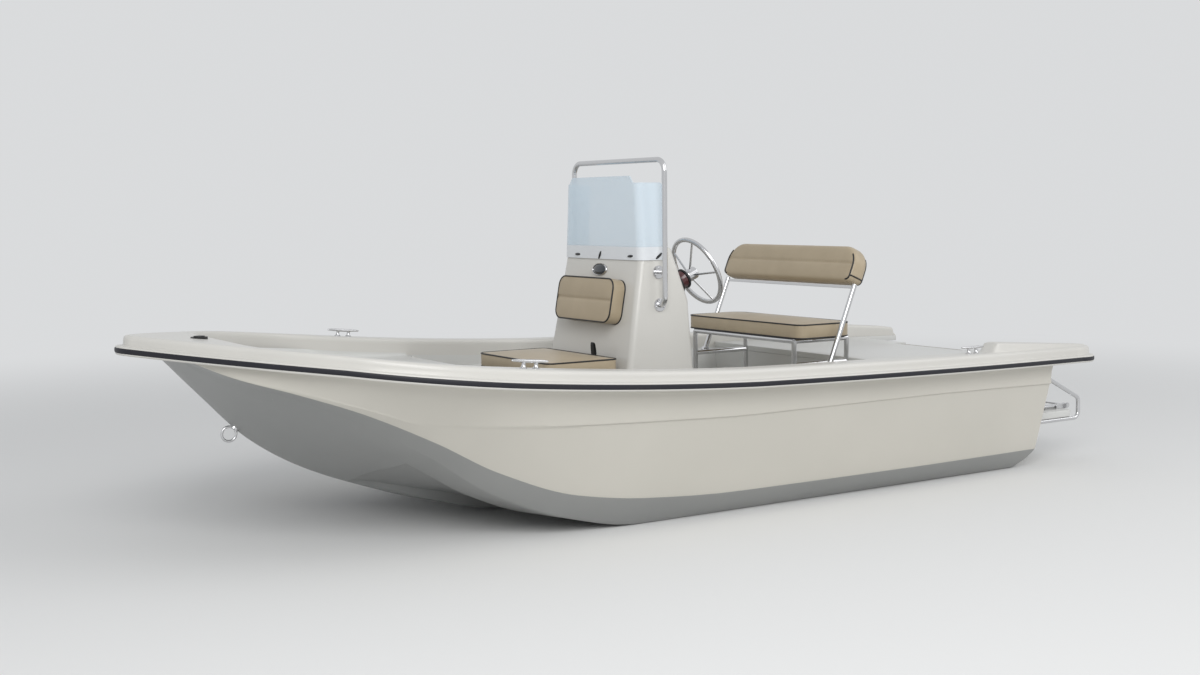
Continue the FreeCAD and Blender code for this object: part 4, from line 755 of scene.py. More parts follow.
def round_corner(run_a, run_b, reach):
    """Join two runs of points with a rounded corner between them."""
    def trimmed(run):
        lengths = np.concatenate([[0], np.cumsum(np.linalg.norm(np.diff(run, axis=0), axis=1))])
        keep_to = lengths[-1] - reach
        cut = np.array([np.interp(keep_to, lengths, run[:, i]) for i in (0, 1)])
        return np.vstack([run[lengths < keep_to - 0.002], cut])

    first, last = trimmed(run_a), trimmed(run_b[::-1])[::-1]
    t = np.linspace(0, 1, 9)[1:-1, None]
    bend = (1 - t) ** 2 * first[-1] + 2 * t * (1 - t) * run_a[-1] + t ** 2 * last[0]
    return np.vstack([first, bend, last])


def well_edge():
    """Port edge of the open cockpit, from the stern wing to the centre of the bow."""
    aft_y, front_y = WING_INNER_Y, WELL_TOP_Y[0]
    middle = ((DECK_EDGE_X + WELL_AFT_X) / 2.0, (aft_y + front_y) / 2.0 + 0.012)
    deck = arc_points((DECK_EDGE_X, aft_y), middle, (WELL_AFT_X, front_y), 0.03)
    deck = deck[deck[:, 0] > 0.012]
    deck = np.vstack([[0.0, np.interp(0.0, [DECK_EDGE_X, deck[0, 0]], [aft_y, deck[0, 1]])], deck])
    widest = ((WELL_AFT_X + WELL_FRONT_X) / 2, WELL_TOP_Y[1])
    cockpit = arc_points((WELL_AFT_X, front_y), widest, (WELL_FRONT_X, WELL_TOP_Y[2]), 0.04)
    side = line_points((WELL_FRONT_X, BOW_HALF), (BOW_SHOULDER_X, BOW_HALF), 0.04)
    elbow_x = (BOW_SHOULDER_X + BOW_ELBOW[0]) / 2.0 + 0.025
    shoulder = arc_points((BOW_SHOULDER_X, BOW_HALF), (elbow_x, BOW_HALF * 0.965), BOW_ELBOW, 0.03)
    end = (BOW_FRONT_X, BOW_FRONT_HALF)
    bulge = ((BOW_ELBOW[0] + end[0]) / 2 + 0.035, (BOW_ELBOW[1] + end[1]) / 2 + 0.028)
    elbow = arc_points(BOW_ELBOW, bulge, end, 0.02)
    front = line_points(end, (BOW_FRONT_X, 0.0), 0.03)
    return round_corner(joined(deck, cockpit, side, shoulder, elbow), front, BOW_CORNER)


WELL_EDGE = well_edge()
print("cockpit edge:", len(WELL_EDGE), "points")

# %% Rings and fills
# inset and height of each ring, round the outside and along the cockpit's edge, and the share
# of the stern wings' extra height that each ring takes
OUTER_PROFILE = ((.020, -.018), (.004, -.018), (.000, -.014), (.000, .010), (.002, .015),
                 (.007, .018), (.022, .018), (.027, .019), (.030, .023), (.031, .040),
                 (.033, .050), (.037, .057), (.044, .061), (.052, .062), (.056, .062),
                 (.060, .062), (.066, .062), (.075, .062))
INNER_PROFILE = ((.000, -.018), (.000, -.010), (.000, .000), (.000, .010), (.000, .015),
                 (.000, .020), (.000, .025), (.000, .030), (.000, .038), (.0004, .044),
                 (.0015, .050), (.004, .056), (.008, .0605), (.013, .062), (.016, .062),
                 (.019, .062), (.022, .062), (.025, .062))
OUTER_WING = (0.0,) * 14 + (0.15, 0.60, 0.92, 1.0)
INNER_WING = (0.0,) * 9 + (1.0,) * 9
WING_LINE = ((0.030, 0.0), (0.090, 0.008), (0.700, 0.041), (0.826, 0.0475), (0.838, 0.046),
             (0.852, 0.036), (0.872, 0.008), (0.884, 0.0))
TAIL_SHRINK = 0.62
TAIL_REACH = 0.30
NARROW_SHARE = 0.90
FILL_STEP = 0.03


def wing_rise(x):
    """Extra height of the raised stern wings."""
    rows = np.array(WING_LINE)
    return np.interp(x, rows[:, 0], rows[:, 1], left=0.0, right=0.0)


def inset_loop(loop, insets):
    """Move each edge of a closed loop inward by its own inset and return the new corners."""
    ahead = np.roll(loop, -1, axis=0) - loop
    ahead /= np.linalg.norm(ahead, axis=1, keepdims=True)
    normal = np.column_stack([ahead[:, 1], -ahead[:, 0]])
    before, inset_before = np.roll(normal, 1, axis=0), np.roll(insets, 1)
    moved = loop.copy()
    for i in range(len(loop)):
        pair = np.array([before[i], normal[i]])
        if abs(np.linalg.det(pair)) > 0.02:
            moved[i] += np.linalg.solve(pair, [inset_before[i], insets[i]])
        else:
            mean = before[i] + normal[i]
            moved[i] += mean / np.linalg.norm(mean) * (inset_before[i] + insets[i]) / 2.0
    return moved


def in_plan(point, loop):
    """Whether a point lies inside a closed plan."""
    ends = np.roll(loop, -1, axis=0)
    crossing = (loop[:, 1] > point[1]) != (ends[:, 1] > point[1])
    start, run = loop[crossing], (ends - loop)[crossing]
    at = start[:, 0] + (point[1] - start[:, 1]) * run[:, 0] / run[:, 1]
    return bool(np.count_nonzero(at > point[0]) % 2)


def fill_plan(loop, spacing, first_index, hole=()):
    """Inner points and triangles that fill a closed plan, on a staggered grid, round a hole."""
    edges = [(i, (i + 1) % len(loop)) for i in range(len(loop))]
    if len(hole):
        edges += [(len(loop) + i, len(loop) + (i + 1) % len(hole)) for i in range(len(hole))]
        low_x, low_y, high_x, high_y = (*np.min(hole, axis=0), *np.max(hole, axis=0))
        loop = np.vstack([loop, hole])
    corners = [Vector(p) for p in loop]
    grid = []
    low, high = loop.min(axis=0), loop.max(axis=0)
    for r, y in enumerate(np.arange(low[1], high[1], spacing)):
        for x in np.arange(low[0] + (r % 2) * spacing / 2.0, high[0], spacing):
            gap = np.min(np.linalg.norm(loop - (x, y), axis=1))
            if gap > spacing * 0.45:
                grid.append(Vector((x, y)))
    plan, _, triangles, sources, _, _ = mathutils.geometry.delaunay_2d_cdt(
        corners + grid, edges, [], 1, 1e-6)
    if len(hole):
        middles = [sum((plan[i] for i in t), Vector((0, 0))) / 3.0 for t in triangles]
        triangles = [t for t, m in zip(triangles, middles)
                     if not (low_x < m.x < high_x and low_y < m.y < high_y and in_plan(m, hole))]
    place = {}
    extra = []
    for i, source in enumerate(sources):
        known = [s for s in source if s < len(corners)]
        if known:
            place[i] = first_index[known[0]]
        else:
            place[i] = first_index["next"] + len(extra)
            extra.append((plan[i].x, plan[i].y))
    return extra, [tuple(place[i] for i in triangle) for triangle in triangles]


def inner_ring(plan, inset):
    """Counter-clockwise plan moved inward on every side."""
    return inset_loop(plan[::-1], np.full(len(plan), inset))[::-1]


def close_ring(points, faces, first, count, spacing, height, hole_first=0, hole_count=0):
    """Fill one ring of the points with triangles, round a second ring where there is a hole."""
    def plan_of(start, number):
        return np.array([p[:2] for p in points[start:start + number]])

    index = {i: first + i for i in range(count)}
    index.update({count + i: hole_first + i for i in range(hole_count)})
    index["next"] = len(points)
    extra, triangles = fill_plan(plan_of(first, count), spacing, index,
                                 plan_of(hole_first, hole_count))
    points += [(x, y, height(x)) for x, y in extra]
    faces += triangles


def gunwale_loop():
    """Closed plan of the gunwale: outside first, then back along the cockpit's edge."""
    inner = WELL_EDGE[WELL_EDGE[:, 0] > 0.10]
    stern = WELL_EDGE[:1]
    outer = joined(PORT_EDGE, NOSE, PORT_EDGE[::-1] * FLIP)
    loop = np.vstack([outer, stern * FLIP, inner * FLIP, inner[::-1][1:], stern])
    return loop, len(outer)


def make_gunwale():
    """Gunwale moulding from its rings, closed above and below."""
    loop, outer_count = gunwale_loop()
    outside = np.zeros(len(loop), bool)
    outside[:outer_count] = True
    outside[-1] = True
    shrink = np.clip(TAIL_SHRINK + loop[:, 0] / TAIL_REACH, TAIL_SHRINK, 1.0)
    opposite = {True: loop[~outside], False: loop[outside]}
    width = np.array([np.min(np.linalg.norm(opposite[bool(side)] - p, axis=1))
                      for p, side in zip(loop, outside)])
    narrow = NARROW_SHARE * width / (OUTER_PROFILE[-1][0] + INNER_PROFILE[-1][0])
    shrink = np.where(loop[:, 0] > MIDDLE, np.minimum(shrink, narrow), shrink)
    points, rings = [], len(OUTER_PROFILE)
    for k in range(rings):
        insets = np.where(outside, OUTER_PROFILE[k][0], INNER_PROFILE[k][0]) * shrink
        plan = inset_loop(loop, insets)
        rise = np.where(outside, OUTER_PROFILE[k][1], INNER_PROFILE[k][1])
        wing = np.where(outside, OUTER_WING[k], INNER_WING[k]) * wing_rise(plan[:, 0])
        z = sheer_z(plan[:, 0]) + rise + wing
        points += list(zip(plan[:, 0], plan[:, 1], z))
    n = len(loop)
    faces = ring_faces(rings, n)
    for ring, rise, wing in ((rings - 1, CAP_RISE, 1.0), (0, -UNDER_CAP, 0.0)):
        close_ring(points, faces, ring * n, n, FILL_STEP,
                   lambda x: float(sheer_z(x) + rise + wing * wing_rise(x)))
    points = [(x - MIDDLE, y, z) for x, y, z in points]
    gunwale = add_piece("gunwale_cap", "boat", points, faces, deck_gelcoat, 38.0)
    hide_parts("gunwale")
    return gunwale


gunwale = make_gunwale()
print("gunwale:", len(gunwale.data.vertices), "points")

# %% [markdown]
# ## Rubbing strip
# A dark rubber strip runs round the lip to take the knocks. It is a half-round section
# carried along the same edge as the lip, so it stays level with it everywhere.

# %% Make the strip
STRIP_PROFILE = ((.005, -.0105), (.000, -.0105), (-.0018, -.0085), (-.0029, -.0040), (-.0030, .0),
                 (-.0029, .0040), (-.0018, .0085), (.000, .0105), (.005, .0105))


def make_strip():
    """Strip swept along the gunwale's outer edge, closed at both ends."""
    loop, outer_count = gunwale_loop()
    points = []
    for inset, rise in STRIP_PROFILE:
        plan = inset_loop(loop, np.full(len(loop), inset))[:outer_count]
        points += list(zip(plan[:, 0] - MIDDLE, plan[:, 1], sheer_z(plan[:, 0]) + rise))
    rows, n = len(STRIP_PROFILE), outer_count
    faces = grid_faces(rows, n)
    faces += [((rows - 1) * n + i, (rows - 1) * n + i + 1, i + 1, i) for i in range(n - 1)]
    faces.append(tuple(r * n for r in range(rows)))
    faces.append(tuple(r * n + n - 1 for r in reversed(range(rows))))
    strip = add_piece("rubbing_strip", "boat", points, faces, rubber, 40.0)
    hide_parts("rub_strip")
    return strip


strip = make_strip()
print("strip:", len(strip.data.vertices), "points")

# %% [markdown]
# ## Trees that follow a path
# Piping and stitches are sewn along a line. They could be modelled one by one, but a tree that
# follows any path makes all of them alike. One tree sweeps a round section along a path, and
# another sets small stitches on it. Each ends in real geometry with its material, and the
# result is turned into a plain mesh.

# %% Geometry trees


def new_tree(name, sizes):
    """Empty geometry tree with a path coming in, named sizes and a material."""
    tree = bpy.data.node_groups.new(name, "GeometryNodeTree")
    tree.interface.new_socket(name="Path", in_out="INPUT", socket_type="NodeSocketGeometry")
    for size, value in sizes.items():
        socket = tree.interface.new_socket(name=size, in_out="INPUT", socket_type="NodeSocketFloat")
        socket.default_value = value
    tree.interface.new_socket(name="Finish", in_out="INPUT", socket_type="NodeSocketMaterial")
    tree.interface.new_socket(name="Result", in_out="OUTPUT", socket_type="NodeSocketGeometry")
    return tree, tree.nodes.new("NodeGroupInput"), tree.nodes.new("NodeGroupOutput")


def chain(tree, entry, exit_node, nodes_in_row):
    """Link nodes in a row through their geometry, then realise, smooth and give the finish."""
    last = entry
    for node in nodes_in_row:
        tree.links.new(last, node.inputs[0])
        last = node.outputs[0]
    real = tree.nodes.new("GeometryNodeRealizeInstances")
    smooth = tree.nodes.new("GeometryNodeSetShadeSmooth")
    paint = tree.nodes.new("GeometryNodeSetMaterial")
    tree.links.new(last, real.inputs[0])
    tree.links.new(real.outputs[0], smooth.inputs[0])
    tree.links.new(smooth.outputs[0], paint.inputs["Geometry"])
    tree.links.new(tree.nodes["Group Input"].outputs["Finish"], paint.inputs["Material"])
    tree.links.new(paint.outputs[0], exit_node.inputs["Result"])


def make_tube_tree():
    """Round tube along a path."""
    tree, entry, exit_node = new_tree("tube_on_path", {"Radius": 0.003})
    curve = tree.nodes.new("GeometryNodeMeshToCurve")
    section = tree.nodes.new("GeometryNodeCurvePrimitiveCircle")
    section.inputs["Resolution"].default_value = 10
    sweep = tree.nodes.new("GeometryNodeCurveToMesh")
    sweep.inputs["Fill Caps"].default_value = True
    tree.links.new(entry.outputs["Radius"], section.inputs["Radius"])
    tree.links.new(section.outputs[0], sweep.inputs["Profile Curve"])
    chain(tree, entry.outputs["Path"], exit_node, [curve, sweep])
    return tree


def make_stitch_tree():
    """Short round-ended stitches spaced along a path."""
    tree, entry, exit_node = new_tree("stitches_on_path", {"Spacing": 0.009, "Length": 0.0028,
                                                           "Thickness": 0.0008})
    curve = tree.nodes.new("GeometryNodeMeshToCurve")
    places = tree.nodes.new("GeometryNodeCurveToPoints")
    places.mode = "LENGTH"
    stitch = tree.nodes.new("GeometryNodeMeshUVSphere")
    stitch.inputs["Segments"].default_value = 6
    stitch.inputs["Rings"].default_value = 4
    stitch.inputs["Radius"].default_value = 1.0
    size = tree.nodes.new("ShaderNodeCombineXYZ")
    scatter = tree.nodes.new("GeometryNodeInstanceOnPoints")
    tree.links.new(entry.outputs["Spacing"], places.inputs["Length"])
    for axis, name in (("X", "Thickness"), ("Y", "Thickness"), ("Z", "Length")):
        tree.links.new(entry.outputs[name], size.inputs[axis])
    tree.links.new(entry.outputs["Path"], curve.inputs[0])
    tree.links.new(curve.outputs[0], places.inputs[0])
    tree.links.new(places.outputs["Points"], scatter.inputs["Points"])
    tree.links.new(places.outputs["Rotation"], scatter.inputs["Rotation"])
    tree.links.new(stitch.outputs[0], scatter.inputs["Instance"])
    tree.links.new(size.outputs[0], scatter.inputs["Scale"])
    chain(tree, scatter.outputs[0], exit_node, [])
    return tree


def grow_on_path(name, body, paths, tree, finish, slot, **sizes):
    """Run a tree on paths of points and keep the result as one plain piece."""
    points, edges = [], []
    for path, closed in paths:
        first = len(points)
        points += [tuple(map(float, p)) for p in path]
        edges += [(first + i, first + i + 1) for i in range(len(path) - 1)]
        if closed:
            edges.append((len(points) - 1, first))
    mesh = bpy.data.meshes.new(name)
    mesh.from_pydata(points, edges, [])
    piece = new_object(name, mesh)
    modifier = piece.modifiers.new("grow", "NODES")
    modifier.node_group = tree
    for item in tree.interface.items_tree:
        if item.in_out == "INPUT" and item.name == "Finish":
            modifier[item.identifier] = finish
        elif item.in_out == "INPUT" and item.name.lower() in sizes:
            modifier[item.identifier] = sizes[item.name.lower()]
    apply_modifiers(piece)
    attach(piece, body)
    return piece


tube_tree = make_tube_tree()
stitch_tree = make_stitch_tree()
print("trees:", tube_tree.name, stitch_tree.name)

# %% [markdown]
# ## Cushions
# Each cushion is a box cover: two panels and a band between them, sewn together with a black
# piping in the seams, over foam. The cover is held at its seams and swells between them, so
# the cloth is pinned along the two seam lines and blown up a little by pressure. The piping
# and the stitches are laid on afterwards, along the same seam points.

# %% Cushion maker
CLOTH_FRAMES = 20
CLOTH_STEP = 0.010
SEAM_ROUND = ((0.0060, 0.0), (0.0018, 0.0018), (0.0, 0.0060))
SWELL_CAP = 0.022
CLOTH_PRESSURE = 5.0
CHANNEL_DEPTH = 0.007
CHANNEL_HALF = CLOTH_STEP * 0.6
STITCH_MARGIN = 0.012
STITCH_LIFT = 0.0008
PIPING_RADIUS = 0.0038
PIPED_CORNER = 0.026
FAR_SIDE = 10.0
STITCH_SIZES = {"spacing": 0.010, "length": 0.0034, "thickness": 0.0008}


def round_plan(corners, step=CLOTH_STEP):
    """Closed plan of points from corners given as x, y and radius."""
    runs = []
    n = len(corners)
    for i in range(n):
        before, here, after = (np.array(corners[(i + k) % n][:2]) for k in (-1, 0, 1))
        radius = corners[i][2]
        back = (before - here) / np.linalg.norm(before - here)
        on = (after - here) / np.linalg.norm(after - here)
        half_turn = math.acos(np.clip(back @ on, -1, 1)) / 2.0
        reach = radius / math.tan(half_turn)
        inward = (back + on) / np.linalg.norm(back + on)
        middle = here + inward * (radius / math.sin(half_turn) - radius)
        runs.append(arc_points(here + back * reach, middle, here + on * reach, step))
    loop = [runs[0]]
    for i in range(n):
        following = runs[(i + 1) % n]
        loop.append(line_points(loop[-1][-1], following[0], step)[1:-1])
        if i < n - 1:
            loop.append(following)
    return np.vstack([part for part in loop if len(part)])


def corners_of(mesh):
    """Points of a mesh as an array."""
    return np.array([v.co for v in mesh.vertices])


def swell(piece, pins, flat_base):
    """Blow the cover up between its pinned seams and keep the result in its mesh."""
    before = corners_of(piece.data)
    group = piece.vertex_groups.new(name="seams")
    group.add([int(i) for i in np.flatnonzero(pins)], 1.0, "REPLACE")
    cloth = piece.modifiers.new("swell", "CLOTH")
    cloth.settings.quality = 6
    cloth.settings.mass = 0.4
    cloth.settings.tension_stiffness = 12.0
    cloth.settings.compression_stiffness = 12.0
    cloth.settings.shear_stiffness = 4.0
    cloth.settings.bending_stiffness = 0.6
    cloth.settings.air_damping = 4.0
    cloth.settings.use_pressure = True
    cloth.settings.uniform_pressure_force = CLOTH_PRESSURE
    cloth.settings.vertex_group_mass = "seams"
    cloth.settings.effector_weights.gravity = 0.0
    cloth.point_cache.frame_start = 1
    cloth.point_cache.frame_end = CLOTH_FRAMES
    for frame_number in range(1, CLOTH_FRAMES + 1):
        bpy.context.scene.frame_set(frame_number)
    evaluated = piece.evaluated_get(bpy.context.evaluated_depsgraph_get())
    move = corners_of(evaluated.data) - before
    length = np.linalg.norm(move, axis=1, keepdims=True)
    after = before + move * np.minimum(1.0, SWELL_CAP / np.maximum(length, 1e-9))
    if flat_base:
        after[:, 2] = np.maximum(after[:, 2], before[:, 2].min())
    piece.modifiers.clear()
    piece.vertex_groups.clear()
    piece.data.vertices.foreach_set("co", after.ravel())
    bpy.context.scene.frame_set(1)


def end_runs(ring, start):
    """Runs of a seam beyond a distance from the middle, one at each end."""
    runs = []
    for side in (1.0, -1.0):
        beyond = side * ring[:, 1] > start
        first = int(np.flatnonzero(beyond & ~np.roll(beyond, 1))[0])
        runs.append((np.roll(ring, -first, axis=0)[:int(beyond.sum())], False))
    return runs


def upright_run(ring_count, plan, place, side):
    """Indices up the band at the point of the plan nearest to a place on one side."""
    miss = np.abs(plan[:, 0] - place) - side * FAR_SIDE * plan[:, 1]
    return np.arange(1, ring_count - 1) * len(plan) + int(np.argmin(miss))


def cushion_cover(plan, thickness, seam):
    """Points and faces of a box cover, and its number of rings: the band with two panels."""
    rings = list(seam)
    band = np.linspace(seam[-1][1], thickness - seam[-1][1], max(3, int(thickness / CLOTH_STEP)))
    rings += [(0.0, z) for z in band[1:-1]]
    rings += [(inset, thickness - rise) for inset, rise in reversed(seam)]
    n = len(plan)
    points, faces = [], ring_faces(len(rings), n)
    for inset, z in rings:
        points += [(x, y, z) for x, y in inner_ring(plan, inset)]
    for ring in (0, len(rings) - 1):
        close_ring(points, faces, ring * n, n, CLOTH_STEP, lambda x: rings[ring][1])
    return np.array(points), faces, len(rings)


def stitch_row(cover, line, half):
    """Places of the stitches along one channel of the swollen cover."""
    row = cover[np.argsort(cover[:, 1])]
    y = np.arange(STITCH_MARGIN - half, half - STITCH_MARGIN, STITCH_SIZES["spacing"])
    z = np.interp(y, row[:, 1], row[:, 2]) + STITCH_LIFT
    return np.column_stack([np.full(len(y), line), y, z])


def make_cushion(name, body, node, plan, thickness, place, channels=(), flat_base=False,
                 seam=SEAM_ROUND, pipe_from=None):
    """Box cushion with piping in both seams and a stitched channel across each line asked for."""
    points, faces, ring_count = cushion_cover(plan, thickness, seam)
    n = len(plan)
    seam_starts = [n, (ring_count - 2) * n]
    pins = np.zeros(len(points), bool)
    for start in seam_starts:
        pins[start:start + n] = True
    top = points[:, 2] > thickness - 0.0005
    grooves = [top & (np.abs(points[:, 0] - line) < CHANNEL_HALF) for line in channels]
    for groove in grooves:
        points[groove, 2] -= CHANNEL_DEPTH
        pins |= groove
    piece = add_piece(name, body, points, faces, vinyl)
    swell(piece, pins, flat_base)
    cover = corners_of(piece.data)
    seams = [(cover[start:start + n], True) for start in seam_starts]
    if pipe_from:
        seams = [run for ring, _ in seams for run in end_runs(ring, pipe_from)]
        corner_x = plan[:, 0].max() - PIPED_CORNER
        seams += [(cover[upright_run(ring_count, plan, corner_x, side)], False)
                  for side in (1.0, -1.0)]
    half = np.abs(plan[:, 1]).max()
    stitches = [(stitch_row(cover[groove], line, half), False)
                for groove, line in zip(grooves, channels)]
    smooth = piece.modifiers.new("fine", "SUBSURF")
    smooth.levels = smooth.render_levels = 1
    apply_modifiers(piece)
    shade_smooth(piece, 60.0)
    piece.data.transform(place)
    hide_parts(node)
    seams, stitches = ([([place @ Vector(p) for p in path], closed) for path, closed in paths]
                       for paths in (seams, stitches))
    piping = grow_on_path(name + "_piping", body, seams, tube_tree, black_vinyl, "vinyl",
                          radius=PIPING_RADIUS)
    if stitches:
        grow_on_path(name + "_stitches", body, stitches, stitch_tree, thread, "vinyl",
                     **STITCH_SIZES)
    print(name + ":", len(piece.data.polygons), "faces, piping", len(piping.data.polygons))


def rectangle(depth, width, radii):
    """Corners of a rectangle, counter-clockwise from the aft starboard one."""
    x, y = depth / 2.0, width / 2.0
    return round_plan([(-x, -y, radii[0]), (x, -y, radii[1]), (x, y, radii[1]), (-x, y, radii[0])])


# %% Helm seat cushion
BENCH_AFT_X = 0.2835 * LENGTH - MIDDLE
BENCH_DEPTH, BENCH_WIDTH, BENCH_THICK = 0.347, 0.916, 0.069
bench_place = Matrix.Translation((BENCH_AFT_X + 0.1995, 0.0, 0.715))
make_cushion("helm_seat_cushion", "boat", "bench_cushion",
             rectangle(BENCH_DEPTH, BENCH_WIDTH, (0.080, 0.045)), BENCH_THICK, bench_place,
             flat_base=True)

# %% Front seat cushion
CONSOLE_X = 0.4711 * LENGTH - MIDDLE
CONSOLE_FOOT = 0.457
SEAT_AFT_X = CONSOLE_X + CONSOLE_FOOT - 0.037
SEAT_FRONT_X = 0.634 * LENGTH - MIDDLE + 0.006
SEAT_WIDTH, SEAT_THICK, SEAT_Z = 0.650, 0.064, 0.6106
seat_place = Matrix.Translation(((SEAT_FRONT_X + SEAT_AFT_X) / 2.0, 0.0, SEAT_Z))
make_cushion("front_cushion", "front_lid", "front_seat_cushion",
             rectangle(SEAT_FRONT_X - SEAT_AFT_X - 0.004, SEAT_WIDTH, (0.030, 0.040)), SEAT_THICK,
             seat_place, flat_base=True)

# %% Console cushion
CONSOLE_FOOT_Z = 0.220
CONSOLE_TILT = math.atan2(CONSOLE_FOOT - 0.288, 1.170 - CONSOLE_FOOT_Z)
PAD_HEIGHT, PAD_WIDTH, PAD_THICK, PAD_Z = 0.206, 0.476, 0.070, 0.919


def console_front_x(z):
    """Place of the console's front face at a height."""
    return CONSOLE_X + CONSOLE_FOOT - (z - CONSOLE_FOOT_Z) * math.tan(CONSOLE_TILT)


def on_console_front(z, stand_off):
    """Frame on the console front: its x points down the face and its z points away from it."""
    turn = Matrix.Rotation(math.pi / 2.0 - CONSOLE_TILT, 4, "Y")
    out = Vector((math.cos(CONSOLE_TILT), 0.0, math.sin(CONSOLE_TILT)))
    return Matrix.Translation(Vector((console_front_x(z), 0.0, z)) + out * stand_off) @ turn


make_cushion("console_pad", "boat", "console_cushion",
             rectangle(PAD_HEIGHT, PAD_WIDTH, (0.048, 0.048)), PAD_THICK,
             on_console_front(PAD_Z, 0.0005), channels=(0.0,), flat_base=True)

# %% Back cushion
PIVOT = Vector((BENCH_AFT_X + 0.225, 0.0, 0.585))
POST_LEAN = math.radians(22.7)
BACK_LOW, BACK_HIGH, BACK_HALF = 0.4185, 0.6055, 0.503
BACK_THICK = 0.094
BACK_SEAM = ((0.0260, 0.0), (0.0110, 0.0035), (0.0035, 0.0110), (0.0, 0.0260))
back_plan = round_plan([(-BACK_HIGH, -BACK_HALF, 0.105), (-BACK_LOW, -BACK_HALF, 0.032),
                        (-BACK_LOW, BACK_HALF, 0.032), (-BACK_HIGH, BACK_HALF, 0.105)])
back_place = (Matrix.Translation(PIVOT) @ Matrix.Rotation(-POST_LEAN, 4, "Y")
              @ Matrix.Translation((-BACK_THICK / 2.0, 0.0, 0.0))
              @ Matrix.Rotation(math.pi / 2.0, 4, "Y"))
make_cushion("back_pad", "backrest", "back_cushion", back_plan, BACK_THICK, back_place,
             channels=(-(BACK_LOW + BACK_HIGH) / 2.0,), seam=BACK_SEAM,
             pipe_from=BACK_HALF - 0.036)

# %% [markdown]
# ## Softened mouldings
# A moulded piece never has a knife edge, because gelcoat won't flow into one. The frame's
# console, locker, lids and steps have the right shape with sharp edges, so each is copied,
# its flat faces are joined up again, and a small Bevel rounds what is sharp.

# %% Round the edges of the moulded pieces
SHARP_FROM = 35.0


def copy_node(name, node, finish):
    """Merged copy of a piece of the frame, with its flat triangles joined."""
    mesh = nodes[node].data.copy()
    mesh.name = name
    shell = bmesh.new()
    shell.from_mesh(mesh)
    bmesh.ops.remove_doubles(shell, verts=shell.verts, dist=0.00002)
    bmesh.ops.dissolve_limit(shell, angle_limit=math.radians(0.6), verts=shell.verts,
                             edges=shell.edges)
    shell.to_mesh(mesh)
    shell.free()
    mesh.materials.clear()
    mesh.materials.append(finish)
    piece = new_object(name, mesh)
    return piece


def soften(name, node, body, finish, slot, width):
    """Copy a piece of the frame and round its sharp edges."""
    piece = copy_node(name, node, finish)
    bevel = piece.modifiers.new("soft_edge", "BEVEL")
    bevel.width = width
    bevel.segments = 3
    bevel.limit_method = "ANGLE"
    bevel.angle_limit = math.radians(SHARP_FROM)
    apply_modifiers(piece)
    shade_smooth(piece, SHARP_FROM)
    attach(piece, body)
    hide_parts(node)
    return piece


# name, node, body, finish, slot, width of the rounding
SOFT_PIECES = (
    ("console_moulding", "console", "boat", deck_gelcoat, "deck_gelcoat", 0.010),
    ("front_locker", "front_seat_box", "boat", deck_gelcoat, "deck_gelcoat", 0.006),
    ("front_locker_lid", "front_seat_lid", "front_lid", deck_gelcoat, "deck_gelcoat", 0.004),
    ("bow_hatch_board", "bow_hatch", "bow_lid", deck_nonskid, "deck_gelcoat", 0.003),
    ("boarding_step", "platform_step", "boat", deck_nonskid, "deck_gelcoat", 0.007),
    ("aft_deck_moulding", "aft_deck", "boat", deck_nonskid, "deck_gelcoat", 0.006),
    ("motor_board_plate", "motor_board", "boat", black_plastic, "black_plastic", 0.003))
for row in SOFT_PIECES:
    print(row[0] + ":", len(soften(*row).data.polygons), "faces")

# %% [markdown]
# ## Bow deck
# The raised deck forward and its side walls are one moulding that comes out from under the
# gunwale, rounds in a wide cove and runs flat to the forward bulkhead, with a locker sunk in it.
# The walls are rows carried along the cockpit's edge, held a little inside the faired hull.

# %% Make the bow deck
DECK_Z = 0.620
DECK_AFT_X = WELL_FRONT_X + 0.008
DECK_SKIN_GAP = 0.030
DECK_WALL = 0.006
DECK_OVERLAP, DECK_TUCK = 0.002, 0.010
COVE_LEAST, COVE_MOST, COVE_SHARE = 0.020, 0.085, 0.6
COVE = ((0.00, 0.00), (0.05, 0.22), (0.11, 0.44), (0.20, 0.64), (0.33, 0.80), (0.50, 0.91),
        (0.72, 0.98), (1.0, 1.0))
LOCKER_AFT, LOCKER_FORE, LOCKER_HALF = 0.7237 * LENGTH, 0.8021 * LENGTH, 0.220
LOCKER_CORNER = 0.018
LOCKER_ROWS = ((-0.0040, 0.0), (-0.0012, -0.0012), (0.0, -0.0040), (0.0, -0.158),
               (0.003, -0.166), (0.011, -0.170))


def hull_half_breadth(x, z):
    """Half breadth of the hull at one place and height."""
    rows = np.array(hull_section(np.array(x))[HULL_SIDE_COLUMN:])
    return float(np.interp(z, rows[:, 1], rows[:, 0]))


def inside_hull(x, y, z):
    """The same point, moved in where it or the moulding under it would reach the hull's skin."""
    limit = hull_half_breadth(x, z - 2.0 * DECK_WALL) - DECK_SKIN_GAP
    return (x, math.copysign(min(abs(y), limit), y), z)


